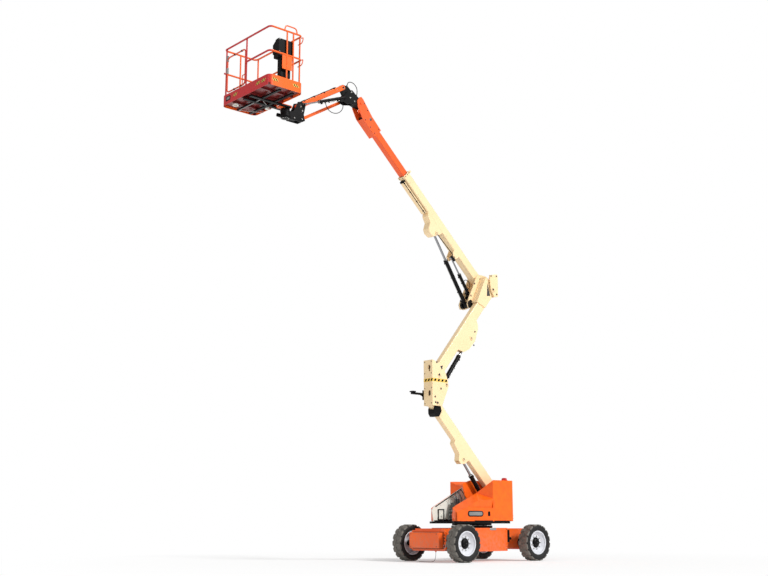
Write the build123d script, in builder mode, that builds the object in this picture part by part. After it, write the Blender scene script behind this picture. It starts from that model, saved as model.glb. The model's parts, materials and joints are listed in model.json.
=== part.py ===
from build123d import *
import os
from math import atan2, cos, degrees, hypot, radians, sin, tan

os.makedirs("parts", exist_ok=True)

# An articulating boom lift, in millimetres.
# +X points forward along the booms, +Y to the left, +Z up.
# The origin is on the floor, on the turntable's swing axis.

# ---------------------------------------------------------------- driving dimensions
WHEELBASE = 2000.0
TRACK = 1510.0
WHEEL_R = 354.0
TYRE_W = 240.0
BEAD_R = 222.0
KINGPIN_Y = 600.0

FRAME_HALF_W = 550.0
FRAME_TOP = 640.0
FRAME_BOTTOM = 195.0
CARRIER_HALF_W = 385.0
DECK_BOTTOM = 725.0
DECK_TOP = 765.0

# Two lateral planes: the tower booms on the left, the main boom and jib beside them.
TOWER_Y = 110.0
MAIN_Y = -115.0

# Pins in the boom plane as (x, z), at rest.
LOWER_FOOT = (-450.0, 1420.0)
LOWER_TIP = (1141.0, 3039.0)
MID_FOOT = (1090.0, 3600.0)
MID_TIP = (-500.0, 5530.0)
MAIN_FOOT = (-340.0, 5760.0)
MAIN_ANGLE = 43.0
COLLAR_S = 2790.0
HEAD_S = 3815.0
HEAD_PIN = (4500.0, 60.0)
JIB_FOOT = (3330.0, 9110.0)
JIB_ANGLE = -31.5
JIB_LENGTH = 1240.0
LINK_FOOT = (3270.0, 8860.0)

TOWER_W = 130.0
TOWER_D = 225.0
MAIN_W = 170.0
MAIN_D = 185.0
FLY_W = 135.0
FLY_D = 150.0
WALL = 8.0

# The cylinders' feet and the places of their rods' eyes, at rest.
MID_LIFT_FOOT = (890.0, 3420.0)
MAIN_LIFT_FOOT = (-30.0, 5185.0)
LEVEL_FOOT = (-170.0, 5370.0)
LIFT_EYES = {
    "lower_lift": (380.0, 1980.0),
    "mid_lift": (110.0, 4440.0),
    "main_lift": (868.0, 6571.0),
    "level": (370.0, 6140.0),
}

BASKET_X = (4840.0, 5600.0)
BASKET_Y = (MAIN_Y - 760.0, MAIN_Y + 760.0)
BASKET_Z = 8370.0
BASKET_TOP = 9510.0
ROTATOR_X = 4680.0
RAIL_R = 17.0


def side(y):
    """Upright plane facing -Y: its x is the model's X and its y is the model's Z."""
    return Plane(origin=(0, y, 0), x_dir=(1, 0, 0), z_dir=(0, -1, 0))


def along(pin, angle, y):
    """Side plane set on a pin and turned so that its x runs along a boom."""
    a = radians(angle)
    return Plane(origin=(pin[0], y, pin[1]), x_dir=(cos(a), 0, sin(a)), z_dir=(0, -1, 0))


def reach(pin, angle, s, h=0.0):
    """The (x, z) point s along a boom from its pin and h above its line."""
    a = radians(angle)
    return (pin[0] + s * cos(a) - h * sin(a), pin[1] + s * sin(a) + h * cos(a))


def across(pin, angle, y, s):
    """Plane square across a boom, s along it: its x is the model's Y."""
    a = radians(angle)
    x, z = reach(pin, angle, s)
    return Plane(origin=(x, y, z), x_dir=(0, 1, 0), z_dir=(cos(a), 0, sin(a)))


def span(a, b):
    """Length and angle in degrees of the line from pin a to pin b."""
    dx = b[0] - a[0]
    dz = b[1] - a[1]
    return hypot(dx, dz), degrees(atan2(dz, dx))


def outline(plane, points):
    """A flat face from its corner points."""
    with BuildSketch(plane) as shape:
        with BuildLine():
            Polyline(*points, close=True)
        make_face()
    return shape.sketch


def hollow(plane, w, d, wall, radius):
    """The rounded section of a box tube, w wide and d deep."""
    with BuildSketch(plane) as shape:
        RectangleRounded(w, d, radius)
        RectangleRounded(w - 2 * wall, d - 2 * wall, radius - wall / 2, mode=Mode.SUBTRACT)
    return shape.sketch


def disc(pin, y, radius):
    """A round face on an upright plane, centred on a pin."""
    with BuildSketch(Plane(origin=(pin[0], y, pin[1]), x_dir=(1, 0, 0), z_dir=(0, -1, 0))) as shape:
        Circle(radius)
    return shape.sketch


def block(x, y, z, mode=Mode.ADD):
    """A box given by its (low, high) pair along each axis."""
    with Locations(((x[0] + x[1]) / 2, (y[0] + y[1]) / 2, (z[0] + z[1]) / 2)):
        Box(x[1] - x[0], y[1] - y[0], z[1] - z[0], mode=mode)


def bar(a, b, radius):
    """A round bar between two points, as its section and its length."""
    run = Vector(*b) - Vector(*a)
    with BuildSketch(Plane(origin=a, z_dir=run)) as shape:
        Circle(radius)
    return shape.sketch, run.length


def pin_hole(pin, y, radius, width):
    """A hole for a pin, through a piece of this width."""
    extrude(disc(pin, y, radius), amount=width / 2 + 1, both=True, mode=Mode.SUBTRACT)


def bend_radii(points):
    """The largest arc that fits each corner of a route."""
    radii = []
    for before, here, after in zip(points, points[1:], points[2:]):
        back = Vector(*here) - Vector(*before)
        on = Vector(*after) - Vector(*here)
        radii.append(0.45 * min(back.length, on.length) / tan(radians(back.get_angle(on) / 2)))
    return radii


def hose_ports(route, radius):
    """The faces of the two ports that a hose runs between, looking into what carries them."""
    ports = []
    for end, beyond in ((route[0], route[1]), (route[-1], route[-2])):
        with BuildSketch(Plane(origin=end, z_dir=Vector(*end) - Vector(*beyond))) as port:
            Circle(radius)
        ports.append(port.sketch)
    return ports


def roof(a, b, c):
    """The plane through three points, facing up."""
    way = (Vector(*b) - Vector(*a)).cross(Vector(*c) - Vector(*a))
    return Plane(origin=a, z_dir=way if way.Z > 0 else way * -1)


def upright(points, low, high):
    """A prism with this plan, from one height to another."""
    return extrude(outline(Plane.XY.offset(low), points), amount=high - low, mode=Mode.PRIVATE)


def finish(builder, name):
    """Label a piece and write it as its own STEP file."""
    builder.part.label = name
    export_step(builder.part, "parts/" + name + ".step")


# ---------------------------------------------------------------- chassis
FRONT_X = WHEELBASE / 2
REAR_X = -WHEELBASE / 2
YOKE_HALF = 55.0
YOKE_Z = (262.0, 448.0)
KINGPIN_R = 25.0

END_PLATE = 16.0
END_PLATE_Y = 485.0
TIE_DOWN = (450.0, 300.0)
TIE_DOWN_R = 25.0
STRAP_CLIP = (FRONT_X + 188, 200, 212)

with BuildPart() as chassis_frame:
    block((-460, 600), (-FRAME_HALF_W, FRAME_HALF_W), (FRAME_BOTTOM, FRAME_TOP))
    chamfer(chassis_frame.edges().filter_by(Axis.Z), 22)
    for s in (1, -1):
        # pressed panel and lower lip along each side
        block((-400, 540), sorted((s * (FRAME_HALF_W - 4), s * (FRAME_HALF_W + 1))), (FRAME_BOTTOM + 45, FRAME_TOP - 45),
              mode=Mode.SUBTRACT)
    block((REAR_X - 230, -455), (-CARRIER_HALF_W, CARRIER_HALF_W), (245, 630))
    block((595, FRONT_X + 181), (-CARRIER_HALF_W, CARRIER_HALF_W), (235, 630))
    for s in (1, -1):
        for z in YOKE_Z:
            y = sorted((s * (CARRIER_HALF_W - 5), s * (KINGPIN_Y + YOKE_HALF)))
            block((FRONT_X - YOKE_HALF, FRONT_X + YOKE_HALF), y, (z - 22, z + 22))
            with Locations((FRONT_X, s * KINGPIN_Y, z)):
                Cylinder(KINGPIN_R + 0.5, 60, mode=Mode.SUBTRACT)
    # an end plate at each end, with the tie-down eyes through its lower corners
    for x in (REAR_X - 230 - END_PLATE, FRONT_X + 180):
        plane = Plane(origin=(x, 0, 0), x_dir=(0, 1, 0), z_dir=(1, 0, 0))
        extrude(outline(plane, ((-END_PLATE_Y, 260), (-END_PLATE_Y + 50, 210), (END_PLATE_Y - 50, 210), (END_PLATE_Y, 260),
                                (END_PLATE_Y, 560), (END_PLATE_Y - 40, 600), (40 - END_PLATE_Y, 600), (-END_PLATE_Y, 560))),
                amount=END_PLATE)
        with BuildSketch(plane):
            with Locations(TIE_DOWN, (-TIE_DOWN[0], TIE_DOWN[1])):
                Circle(TIE_DOWN_R)
        extrude(amount=END_PLATE, mode=Mode.SUBTRACT)
    block((STRAP_CLIP[0] - 8, STRAP_CLIP[0] + 8), (STRAP_CLIP[1] - 12, STRAP_CLIP[1] + 12), (190, 212))
finish(chassis_frame, "chassis_frame")

# the strap that earths the machine, from its clip down to the floor and along it
STRAP_R = 4.0
STRAP = ((STRAP_CLIP[0], STRAP_CLIP[1], 190), (STRAP_CLIP[0], STRAP_CLIP[1], 128), (STRAP_CLIP[0] - 3, 182, 68),
         (STRAP_CLIP[0], 150, 22), (STRAP_CLIP[0] + 6, 92, 5), (STRAP_CLIP[0] + 13, 10, 4.5), (STRAP_CLIP[0] + 9, -90, 4.6),
         (STRAP_CLIP[0] + 2, -190, 4.4), (STRAP_CLIP[0] + 5, -275, 4.5))

with BuildPart() as swing_bearing:
    with Locations((0, 0, FRAME_TOP + 22)):
        Cylinder(410, 44)
        Cylinder(300, 44, mode=Mode.SUBTRACT)
finish(swing_bearing, "swing_bearing")

with BuildPart() as front_cover:
    block((FRONT_X + 197, FRONT_X + 322), (-415, 415), (262, 558))
    fillet(front_cover.edges().group_by(Axis.X)[-1], 28)
finish(front_cover, "front_cover")

HUB_R = 92.0
with BuildPart() as drive_hubs:
    for s in (1, -1):
        with BuildSketch(side(s * CARRIER_HALF_W)):
            with Locations((REAR_X, WHEEL_R)):
                Circle(HUB_R)
        extrude(amount=-s * (TRACK / 2 + 8 - CARRIER_HALF_W))
finish(drive_hubs, "drive_hubs")

# ---------------------------------------------------------------- wheels
# One row for each wheel: corner, x, side.
WHEELS = (
    ("front_left", FRONT_X, 1),
    ("front_right", FRONT_X, -1),
    ("rear_left", REAR_X, 1),
    ("rear_right", REAR_X, -1),
)
# A tyre is a many-sided carcass with two rings of shoulder lugs, whose flat tips reach the floor.
CARCASS_SIDES = 32
BORE_R = BEAD_R + 2.5
CARCASS = ((-TYRE_W / 2, 284), (-110, 338), (110, 338), (TYRE_W / 2, 284))
BEAD_DISH = ((TYRE_W / 2 + 1, 281), (92, 236))
LUGS = 16
LUG_TIP = 5.2
LUG_ROOT = 7.2
LUG_R = WHEEL_R / cos(radians(LUG_TIP))
LUG_BANDS = ((-112, -18, 0.0), (18, 112, 0.5))
RIM_PROFILE = ((-104, 214), (-104, 232), (-92, BEAD_R), (92, BEAD_R), (104, 232), (104, 212), (80, 202), (40, 150),
               (40, 80), (66, 68), (66, 0), (20, 0), (20, 146), (50, 200))


def wheel_plane(x, y):
    """The plane across a wheel's axle at this y, with its origin on the axle."""
    return Plane(origin=(x, y, WHEEL_R), x_dir=(1, 0, 0), z_dir=(0, 1, 0))


def ring(radii_and_angles):
    """A closed outline round the axle, from (radius, angle in degrees) pairs."""
    return [(r * cos(radians(a)), r * sin(radians(a))) for r, a in radii_and_angles]


for corner, x, s in WHEELS:
    axle = Axis((x, 0, WHEEL_R), (0, 1, 0))
    plane = Plane(origin=(x, s * TRACK / 2, WHEEL_R), x_dir=(0, s, 0), z_dir=(s, 0, 0))
    with BuildPart() as tyre:
        for stations in zip(CARCASS, CARCASS[1:]):
            for y, r in stations:
                with BuildSketch(wheel_plane(x, s * TRACK / 2 + y)):
                    RegularPolygon(r, CARCASS_SIDES)
            loft(ruled=True)
        for low, high, step in LUG_BANDS:
            teeth = []
            for k in range(LUGS):
                middle = -90 + 360 / LUGS * (k + step)
                teeth += [(332, middle - LUG_ROOT), (LUG_R, middle - LUG_TIP), (LUG_R, middle + LUG_TIP),
                          (332, middle + LUG_ROOT)]
            band = outline(wheel_plane(x, s * TRACK / 2 + low), ring(teeth))
            extrude(band, amount=high - low)
        for end in (1, -1):
            for y, r in BEAD_DISH:
                with BuildSketch(wheel_plane(x, s * TRACK / 2 + end * y)):
                    RegularPolygon(r, CARCASS_SIDES)
            loft(ruled=True, mode=Mode.SUBTRACT)
        with Locations(Location((x, s * TRACK / 2, WHEEL_R), (90, 0, 0))):
            Cylinder(BORE_R, TYRE_W + 10, mode=Mode.SUBTRACT)
    finish(tyre, "tyre_" + corner)
    with BuildPart() as rim:
        with BuildSketch(plane):
            with BuildLine():
                Polyline(*RIM_PROFILE, close=True)
            make_face()
        revolve(axis=axle)
    finish(rim, "rim_" + corner)

for name, s in (("left", 1), ("right", -1)):
    with BuildPart() as knuckle:
        y = sorted((s * (KINGPIN_Y - 38), s * (KINGPIN_Y + 50)))
        block((FRONT_X - 45, FRONT_X + 45), y, (YOKE_Z[0] + 28, YOKE_Z[1] - 28))
        with Locations((FRONT_X, s * KINGPIN_Y, sum(YOKE_Z) / 2)):
            Cylinder(KINGPIN_R, YOKE_Z[1] - YOKE_Z[0] + 60)
        extrude(disc((FRONT_X, WHEEL_R), s * KINGPIN_Y, 58), amount=-s * (TRACK / 2 + 8 - KINGPIN_Y))
        arm = sorted((s * (KINGPIN_Y - 75), s * (KINGPIN_Y - 20)))
        block((FRONT_X + 20, FRONT_X + 150), arm, (YOKE_Z[0] + 40, YOKE_Z[0] + 62))
    finish(knuckle, "knuckle_" + name)

# ---------------------------------------------------------------- turntable
CHANNEL = 262.0
HOOD_HALF_W = 600.0
HOOD_REAR = -592.0
HOOD_TOP = 1565.0
HOOD_WALL = 14.0
HOOD_LOW = DECK_TOP + 5.0
FOOT_PIN_R = 30.0
LIFT_FOOT = (-360.0, 1050.0)

with BuildPart() as turntable_deck:
    extrude(outline(Plane.XY.offset(DECK_BOTTOM), (
        (-595, -480), (-480, -595), (60, -595), (640, -500), (760, -420), (835, -268), (835, 268), (925, 440),
        (880, 484), (60, 595), (-480, 595), (-595, 480))), amount=DECK_TOP - DECK_BOTTOM)
    with Locations((0, 0, (DECK_BOTTOM + FRAME_TOP + 49) / 2)):
        Cylinder(395, DECK_BOTTOM - FRAME_TOP - 49)
finish(turntable_deck, "turntable_deck")

# The pedestal carries the lower boom's foot and its cylinder between two plates: (from y, to y, outline).
PEDESTAL = (
    (0, 25, ((-590, DECK_TOP), (-590, 1400), (-520, 1555), (-60, 1572), (60, 1570), (270, 1505), (200, 1272),
             (60, 1100), (60, DECK_TOP))),
    (195, 220, ((-590, DECK_TOP), (-590, 1400), (-530, 1500), (-400, 1510), (-250, 1430), (-60, 1200), (60, DECK_TOP))),
)
with BuildPart() as boom_pedestal:
    for low, high, points in PEDESTAL:
        extrude(outline(side(high), points), amount=high - low)
    block((-588, -570), (0, 220), (DECK_TOP, 1150))
    block((-588, 60), (0, 220), (DECK_TOP, DECK_TOP + 18))
    for pin, radius in ((LOWER_FOOT, FOOT_PIN_R), (LIFT_FOOT, 22)):
        extrude(disc(pin, TOWER_Y, radius), amount=TOWER_Y + 10, both=True)
finish(boom_pedestal, "boom_pedestal")

with BuildPart() as valve_block:
    block((190, 430), (-210, -30), (DECK_TOP, 1010))
    block((215, 400), (-190, -50), (1010, 1130))
    for k in range(3):
        with Locations((250 + 55 * k, -95, 1165)):
            Cylinder(20, 75)
        with Locations(Location((250 + 55 * k, -25, 1070), (90, 0, 0))):
            Cylinder(18, 60)
finish(valve_block, "valve_block")

# One row for each hood: name, side, nose (x, y), foot of the front edge (x), and on its roof the brow and lip
# at the channel (x, z), the ridge's height above the crease and the crest's place.
HOODS = (
    ("left", 1, (900, 470), 800, (126, 1316), (705, 1066), 1202, (352, 545, 1150)),
    ("right", -1, (650, 490), 840, (20, 1440), (811, 1047), 1240, (352, 545, 1150)),
)
RECESS_LOW = 1030.0
RECESS_DEPTH = 30.0
RECESS_END = 0.62
HINGE_X = ((-572, -502), (-498, -442), (-438, -372))
HINGE_R = 9.0


def hood_form(side_of, nose, tip_x, brow, lip, ridge_z, crest, inset):
    """The folded form of a hood, or the space inside its walls when it is inset."""
    near = side_of * (CHANNEL + 2 if inset == 0 else CHANNEL - 2)
    far = side_of * (HOOD_HALF_W - inset)
    low = HOOD_LOW if inset == 0 else HOOD_LOW - 5
    drop = inset * 1.15
    brow_at = (brow[0], side_of * CHANNEL, brow[1] - drop)
    lip_at = (lip[0], side_of * CHANNEL, lip[1] - drop)
    ridge_at = (0, side_of * HOOD_HALF_W, ridge_z - drop)
    crest_at = (crest[0], side_of * crest[1], crest[2] - drop)
    nose_at = (nose[0] - inset, side_of * (nose[1] - inset))
    with BuildPart() as front:
        add(upright(((brow[0], near), (tip_x - inset, near), nose_at, (0, far)), low, HOOD_TOP))
        split(bisect_by=roof(brow_at, ridge_at, crest_at), keep=Keep.BOTTOM)
        split(bisect_by=roof(brow_at, lip_at, crest_at), keep=Keep.BOTTOM)
        if inset == 0:
            fillet(front.edges().filter_by(Axis.Z).sort_by(Axis.X)[-2:], 40)
    with BuildPart() as whole:
        plan = ((HOOD_REAR + inset, near), (brow[0], near), (0, far), (HOOD_REAR + inset, far))
        add(upright(plan, low, HOOD_TOP - inset))
        split(bisect_by=roof((0, side_of * HOOD_HALF_W, 1560 - inset), (-366, side_of * CHANNEL, HOOD_TOP - inset), brow_at),
              keep=Keep.BOTTOM)
        if inset == 0:
            outer = whole.edges().filter_by(Axis.Z).sort_by(lambda edge: edge.center().X - abs(edge.center().Y))
            fillet(outer[:1], 45)
        add(front.part)
    return whole.part


for name, s, *form in HOODS:
    nose, tip_x, brow, lip, ridge_z, crest = form
    shell = hood_form(s, *form, 0)
    inside = hood_form(s, *form, HOOD_WALL)
    # the hollow under the ridge: its ends along the hood's side, and that side's inward way
    along_side = Vector(nose[0], s * (nose[1] - HOOD_HALF_W)) * RECESS_END
    inward = Vector(0, -s * 1.0)
    start = Vector(0, s * HOOD_HALF_W)
    strip = [start + inward * -8, start + along_side + inward * -8, start + along_side + inward * 48, start + inward * 48]
    corners = [(point.X, point.Y) for point in strip]
    backing = upright(corners, RECESS_LOW - HOOD_WALL, HOOD_TOP)
    with BuildPart() as space:
        add(inside)
        add(backing, mode=Mode.SUBTRACT)
    foot = start + inward * RECESS_DEPTH
    with BuildPart() as recess:
        add(upright(corners, RECESS_LOW, HOOD_TOP))
        split(bisect_by=roof((0, s * HOOD_HALF_W, ridge_z - 12), (crest[0], s * crest[1], crest[2] - 12),
                             (foot.X, foot.Y, RECESS_LOW)), keep=Keep.BOTTOM)
    with BuildPart() as hood:
        add(shell)
        add(space.part, mode=Mode.SUBTRACT)
        add(recess.part, mode=Mode.SUBTRACT)
        # the hinge's outer barrels, and the notch for the middle one
        block(HINGE_X[1], sorted((s * (CHANNEL - 4), s * (CHANNEL + 22))), (HOOD_TOP - 25, HOOD_TOP + 5), mode=Mode.SUBTRACT)
        for low, high in (HINGE_X[0], HINGE_X[2]):
            with Locations(Location(((low + high) / 2, s * CHANNEL, HOOD_TOP), (0, 90, 0))):
                Cylinder(HINGE_R, high - low)
    finish(hood, "hood_" + name)
    with BuildPart() as panel:
        extrude(outline(side(s * CHANNEL - (0 if s > 0 else -16)), (
            (HOOD_REAR + 14, DECK_TOP), (HOOD_REAR + 14, HOOD_TOP - 14), (-366, HOOD_TOP - 14), (brow[0], brow[1] - 4),
            (lip[0], lip[1] - 4), (lip[0] + 45, lip[1] - 60), (tip_x - 4, lip[1] - 170), (tip_x - 20, DECK_TOP))), amount=16)
        low, high = HINGE_X[1][0] + 2, HINGE_X[1][1] - 2
        block((low, high), sorted((s * (CHANNEL - 12), s * CHANNEL)), (HOOD_TOP - 16, HOOD_TOP))
        with Locations(Location(((low + high) / 2, s * CHANNEL, HOOD_TOP), (0, 90, 0))):
            Cylinder(HINGE_R, high - low)
    finish(panel, "inner_panel_" + name)

with BuildPart() as power_packs:
    for s in (1, -1):
        block((-500, 0), sorted((s * 310, s * 560)), (DECK_TOP, 1005))
        block((-10, 520), sorted((s * 310, s * 470)), (DECK_TOP, 1005))
finish(power_packs, "power_packs")

# ---------------------------------------------------------------- tower booms
LOWER_LENGTH, LOWER_ANGLE = span(LOWER_FOOT, LOWER_TIP)
MID_LENGTH, MID_ANGLE = span(MID_FOOT, MID_TIP)
BOSS_R = 100.0

# A cylinder's bracket is a pair of cheeks as wide as its boom, given as (along, above) points.
LOWER_BRACKET = ((1400, -100), (1370, -170), (1130, -215), (1050, -318), (960, -318), (890, -240), (860, -100))
MID_BRACKET = ((820, 100), (900, 255), (1050, 325), (1300, 345), (1420, 300), (1560, 250), (1630, 190), (1680, 100))
CHEEK = 18.0
EYE_GAP = 30.0


def tube_boom(foot, angle, length, w, d, ends):
    """A box boom on its foot pin: the tube, a round boss at each end, and the solid ends behind them."""
    y = TOWER_Y
    with BuildPart() as boom:
        extrude(hollow(across(foot, angle, y, 90), w, d, WALL, 18), amount=length - 180)
        for pin, s in zip(ends, (90, length - 90)):
            extrude(disc(pin, y, BOSS_R), amount=w / 2, both=True)
            extrude(outline(along(foot, angle, y), ((s - 70, -95), (s + 70, -95), (s + 70, 95), (s - 70, 95))),
                    amount=w / 2 - 4, both=True)
        for pin in ends:
            pin_hole(pin, y, FOOT_PIN_R + 0.5, w)
    return boom.part


def bracket(points, foot, angle, y, half_w, eye, boss_r=40):
    """The two cheeks of a cylinder's bracket, with a round boss inside and out at the rod's eye."""
    with BuildPart() as cheeks:
        for s in (1, -1):
            extrude(outline(along(foot, angle, y + s * (half_w - CHEEK / 2)), points), amount=CHEEK / 2, both=True)
            extrude(disc(eye, y + s * EYE_GAP, boss_r), amount=-s * (half_w - EYE_GAP - 4))
            extrude(disc(eye, y + s * (half_w - 5), boss_r - 8), amount=-s * 19)
    return cheeks.part


def strip(points, y, half_w, thick):
    """A plate across a bracket, along the line through these side points."""
    inner = [(x - thick, z + thick) for x, z in reversed(points)]
    return extrude(outline(side(y), (*points, *inner)), amount=half_w, both=True, mode=Mode.PRIVATE)


with BuildPart() as lower_boom:
    add(tube_boom(LOWER_FOOT, LOWER_ANGLE, LOWER_LENGTH, TOWER_W, TOWER_D, (LOWER_FOOT, LOWER_TIP)))
    add(bracket(LOWER_BRACKET, LOWER_FOOT, LOWER_ANGLE, TOWER_Y, TOWER_W / 2, LIFT_EYES["lower_lift"]))
    front = [reach(LOWER_FOOT, LOWER_ANGLE, s, h) for s, h in LOWER_BRACKET[:4]]
    add(strip(front, TOWER_Y, TOWER_W / 2 - 1, 14))
finish(lower_boom, "lower_boom")

# The middle boom ends in a flared head: two side plates and a front one, from y to y.
HEAD_SIDE = ((-65, 5222), (-345, 5794), (-400, 5765), (-500, 5680), (-580, 5590), (-580, 5459), (-310, 5125))
HEAD_FRONT = ((-65, 5222), (-345, 5794), (-357, 5788), (-77, 5216))
with BuildPart() as mid_boom:
    add(tube_boom(MID_FOOT, MID_ANGLE, MID_LENGTH, TOWER_W, TOWER_D, (MID_FOOT, MID_TIP)))
    add(bracket(MID_BRACKET, MID_FOOT, MID_ANGLE, TOWER_Y, TOWER_W / 2, LIFT_EYES["mid_lift"]))
    for low, high in ((30, 46), (174, 190)):
        extrude(outline(side(high), HEAD_SIDE), amount=high - low)
    extrude(outline(side(190), HEAD_FRONT), amount=160)
    pin_hole(MID_TIP, TOWER_Y, FOOT_PIN_R + 0.5, 170)
finish(mid_boom, "mid_boom")

UPRIGHT_PLATE = 25.0
UPRIGHT_GAP = TOWER_W / 2 + 35.0
LOWER_UPRIGHT = ((1255, 2985), (1255, 3885), (975, 3800), (850, 3500), (830, 3380), (1010, 2985))
with BuildPart() as lower_upright:
    for s in (1, -1):
        cheek = outline(side(TOWER_Y + s * (UPRIGHT_GAP + UPRIGHT_PLATE / 2)), LOWER_UPRIGHT)
        extrude(cheek, amount=UPRIGHT_PLATE / 2, both=True)
    block((1253, 1270), (TOWER_Y - UPRIGHT_GAP - UPRIGHT_PLATE, TOWER_Y + UPRIGHT_GAP + UPRIGHT_PLATE), (2985, 3885))
    # an oval opening and a keyhole through the front plate
    with BuildSketch(Plane(origin=(1240, 0, 0), x_dir=(0, 1, 0), z_dir=(1, 0, 0))):
        with Locations((145, 3231)):
            SlotOverall(110, 68, rotation=90)
        with Locations((140, 3745)):
            Circle(42)
        with Locations((152, 3700)):
            Rectangle(34, 80)
    extrude(amount=40, mode=Mode.SUBTRACT)
    for pin in (LOWER_TIP, MID_FOOT):
        extrude(disc(pin, TOWER_Y, FOOT_PIN_R), amount=UPRIGHT_GAP + UPRIGHT_PLATE + 10, both=True)
    extrude(disc(MID_LIFT_FOOT, TOWER_Y, 22), amount=UPRIGHT_GAP + UPRIGHT_PLATE + 10, both=True)
finish(lower_upright, "lower_upright")

REST_Y = (-80.0, -40.0)
with BuildPart() as boom_rest:
    block((1140, 1560), REST_Y, (3205, 3245))
    extrude(outline(side(REST_Y[1] - 12), ((1215, 3110), (1215, 3210), (1340, 3210), (1270, 3180))), amount=16)
    block((1150, 1262), (REST_Y[0] + 12, REST_Y[1] + 0.5), (3110, 3300))
    block((1480, 1570), (REST_Y[0] - 25, REST_Y[1] + 25), (3245, 3268))
finish(boom_rest, "boom_rest")

# The guard round the lower boom's tip, as (past the tip pin, above the boom's line) points.
GUARD_SIDE = ((-20, -60), (-50, -128), (-110, -180), (-180, -192), (-245, -120), (-215, 0), (-90, 75), (-40, 40))
GUARD_FRONT = ((-50, -128), (-110, -180), (-180, -192), (-245, -120), (-60, -120))
with BuildPart() as end_guards:
    for s in (1, -1):
        extrude(outline(along(LOWER_TIP, LOWER_ANGLE, TOWER_Y + s * 76), GUARD_SIDE), amount=9, both=True)
    extrude(outline(along(LOWER_TIP, LOWER_ANGLE, TOWER_Y), GUARD_FRONT), amount=80, both=True)
    pin_hole(LOWER_TIP, TOWER_Y, FOOT_PIN_R + 1, 2 * UPRIGHT_GAP)
finish(end_guards, "end_guards")

# ---------------------------------------------------------------- upper upright
UPPER_Y = (-235.0, 235.0)
MID_PLATE_Y = (0.0, 25.0)
TOWER_SIDE = ((-415, 5830), (-640, 5880), (-655, 5395), (-545, 5375), (-445, 5525), (-430, 5640))
MAIN_SIDE = ((-345, 5855), (-480, 5850), (-655, 5700), (-655, 5400), (-330, 5200), (-100, 5110), (20, 5110),
             (50, 5190), (0, 5330), (-120, 5560), (-230, 5800))
with BuildPart() as upper_upright:
    extrude(outline(side(UPPER_Y[1] - 12.5), TOWER_SIDE), amount=12.5, both=True)
    extrude(outline(side(sum(MID_PLATE_Y) / 2), MAIN_SIDE), amount=12.5, both=True)
    extrude(outline(side(UPPER_Y[0] + 12.5), MAIN_SIDE), amount=12.5, both=True)
    block((-655, -630), (0, UPPER_Y[1]), (5400, 5850))
    block((-655, -600), (UPPER_Y[0], 25), (5400, 5690))
    extrude(disc(MID_TIP, TOWER_Y, FOOT_PIN_R), amount=UPPER_Y[1] - TOWER_Y + 10, both=True)
    extrude(disc(MAIN_FOOT, MAIN_Y, FOOT_PIN_R), amount=140, both=True)
    for pin in (MAIN_LIFT_FOOT, LEVEL_FOOT):
        extrude(disc(pin, MAIN_Y, 22), amount=130, both=True)
finish(upper_upright, "upper_upright")

# ---------------------------------------------------------------- main boom and fly
MAIN_BRACKET = ((1880, -85), (1830, -150), (1700, -200), (1640, -330), (1560, -372), (1440, -345), (1380, -240), (1330, -85))
LEVEL_LUG = ((690, -85), (730, -245), (830, -245), (880, -85))
main_side = along(MAIN_FOOT, MAIN_ANGLE, MAIN_Y)
with BuildPart() as main_boom:
    extrude(hollow(across(MAIN_FOOT, MAIN_ANGLE, MAIN_Y, 90), MAIN_W, MAIN_D, WALL, 20), amount=COLLAR_S - 90)
    extrude(hollow(across(MAIN_FOOT, MAIN_ANGLE, MAIN_Y, COLLAR_S - 40), MAIN_W + 30, MAIN_D + 30, 29, 30), amount=46)
    extrude(disc(MAIN_FOOT, MAIN_Y, MAIN_D / 2), amount=MAIN_W / 2, both=True)
    extrude(outline(main_side, ((0, -90), (160, -90), (160, 90), (0, 90))), amount=MAIN_W / 2 - 3, both=True)
    pin_hole(MAIN_FOOT, MAIN_Y, FOOT_PIN_R + 0.5, MAIN_W)
    add(bracket(MAIN_BRACKET, MAIN_FOOT, MAIN_ANGLE, MAIN_Y, MAIN_W / 2, LIFT_EYES["main_lift"]))
    add(bracket(LEVEL_LUG, MAIN_FOOT, MAIN_ANGLE, MAIN_Y, MAIN_W / 2, LIFT_EYES["level"], 28))
    front = [reach(MAIN_FOOT, MAIN_ANGLE, s, h) for s, h in MAIN_BRACKET[:6]]
    add(strip(front, MAIN_Y, MAIN_W / 2 - 1, 14))
    # the bore that the fly boom slides in stays clear
    with BuildSketch(across(MAIN_FOOT, MAIN_ANGLE, MAIN_Y, 170)):
        RectangleRounded(MAIN_W - 2 * WALL, MAIN_D - 2 * WALL, 16)
    extrude(amount=COLLAR_S, mode=Mode.SUBTRACT)
finish(main_boom, "main_boom")

with BuildPart() as hose_tray:
    extrude(outline(main_side, ((1905, -160), (1905, -97), (2690, -97), (2690, -160))), amount=45, both=True)
finish(hose_tray, "hose_tray")

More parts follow.
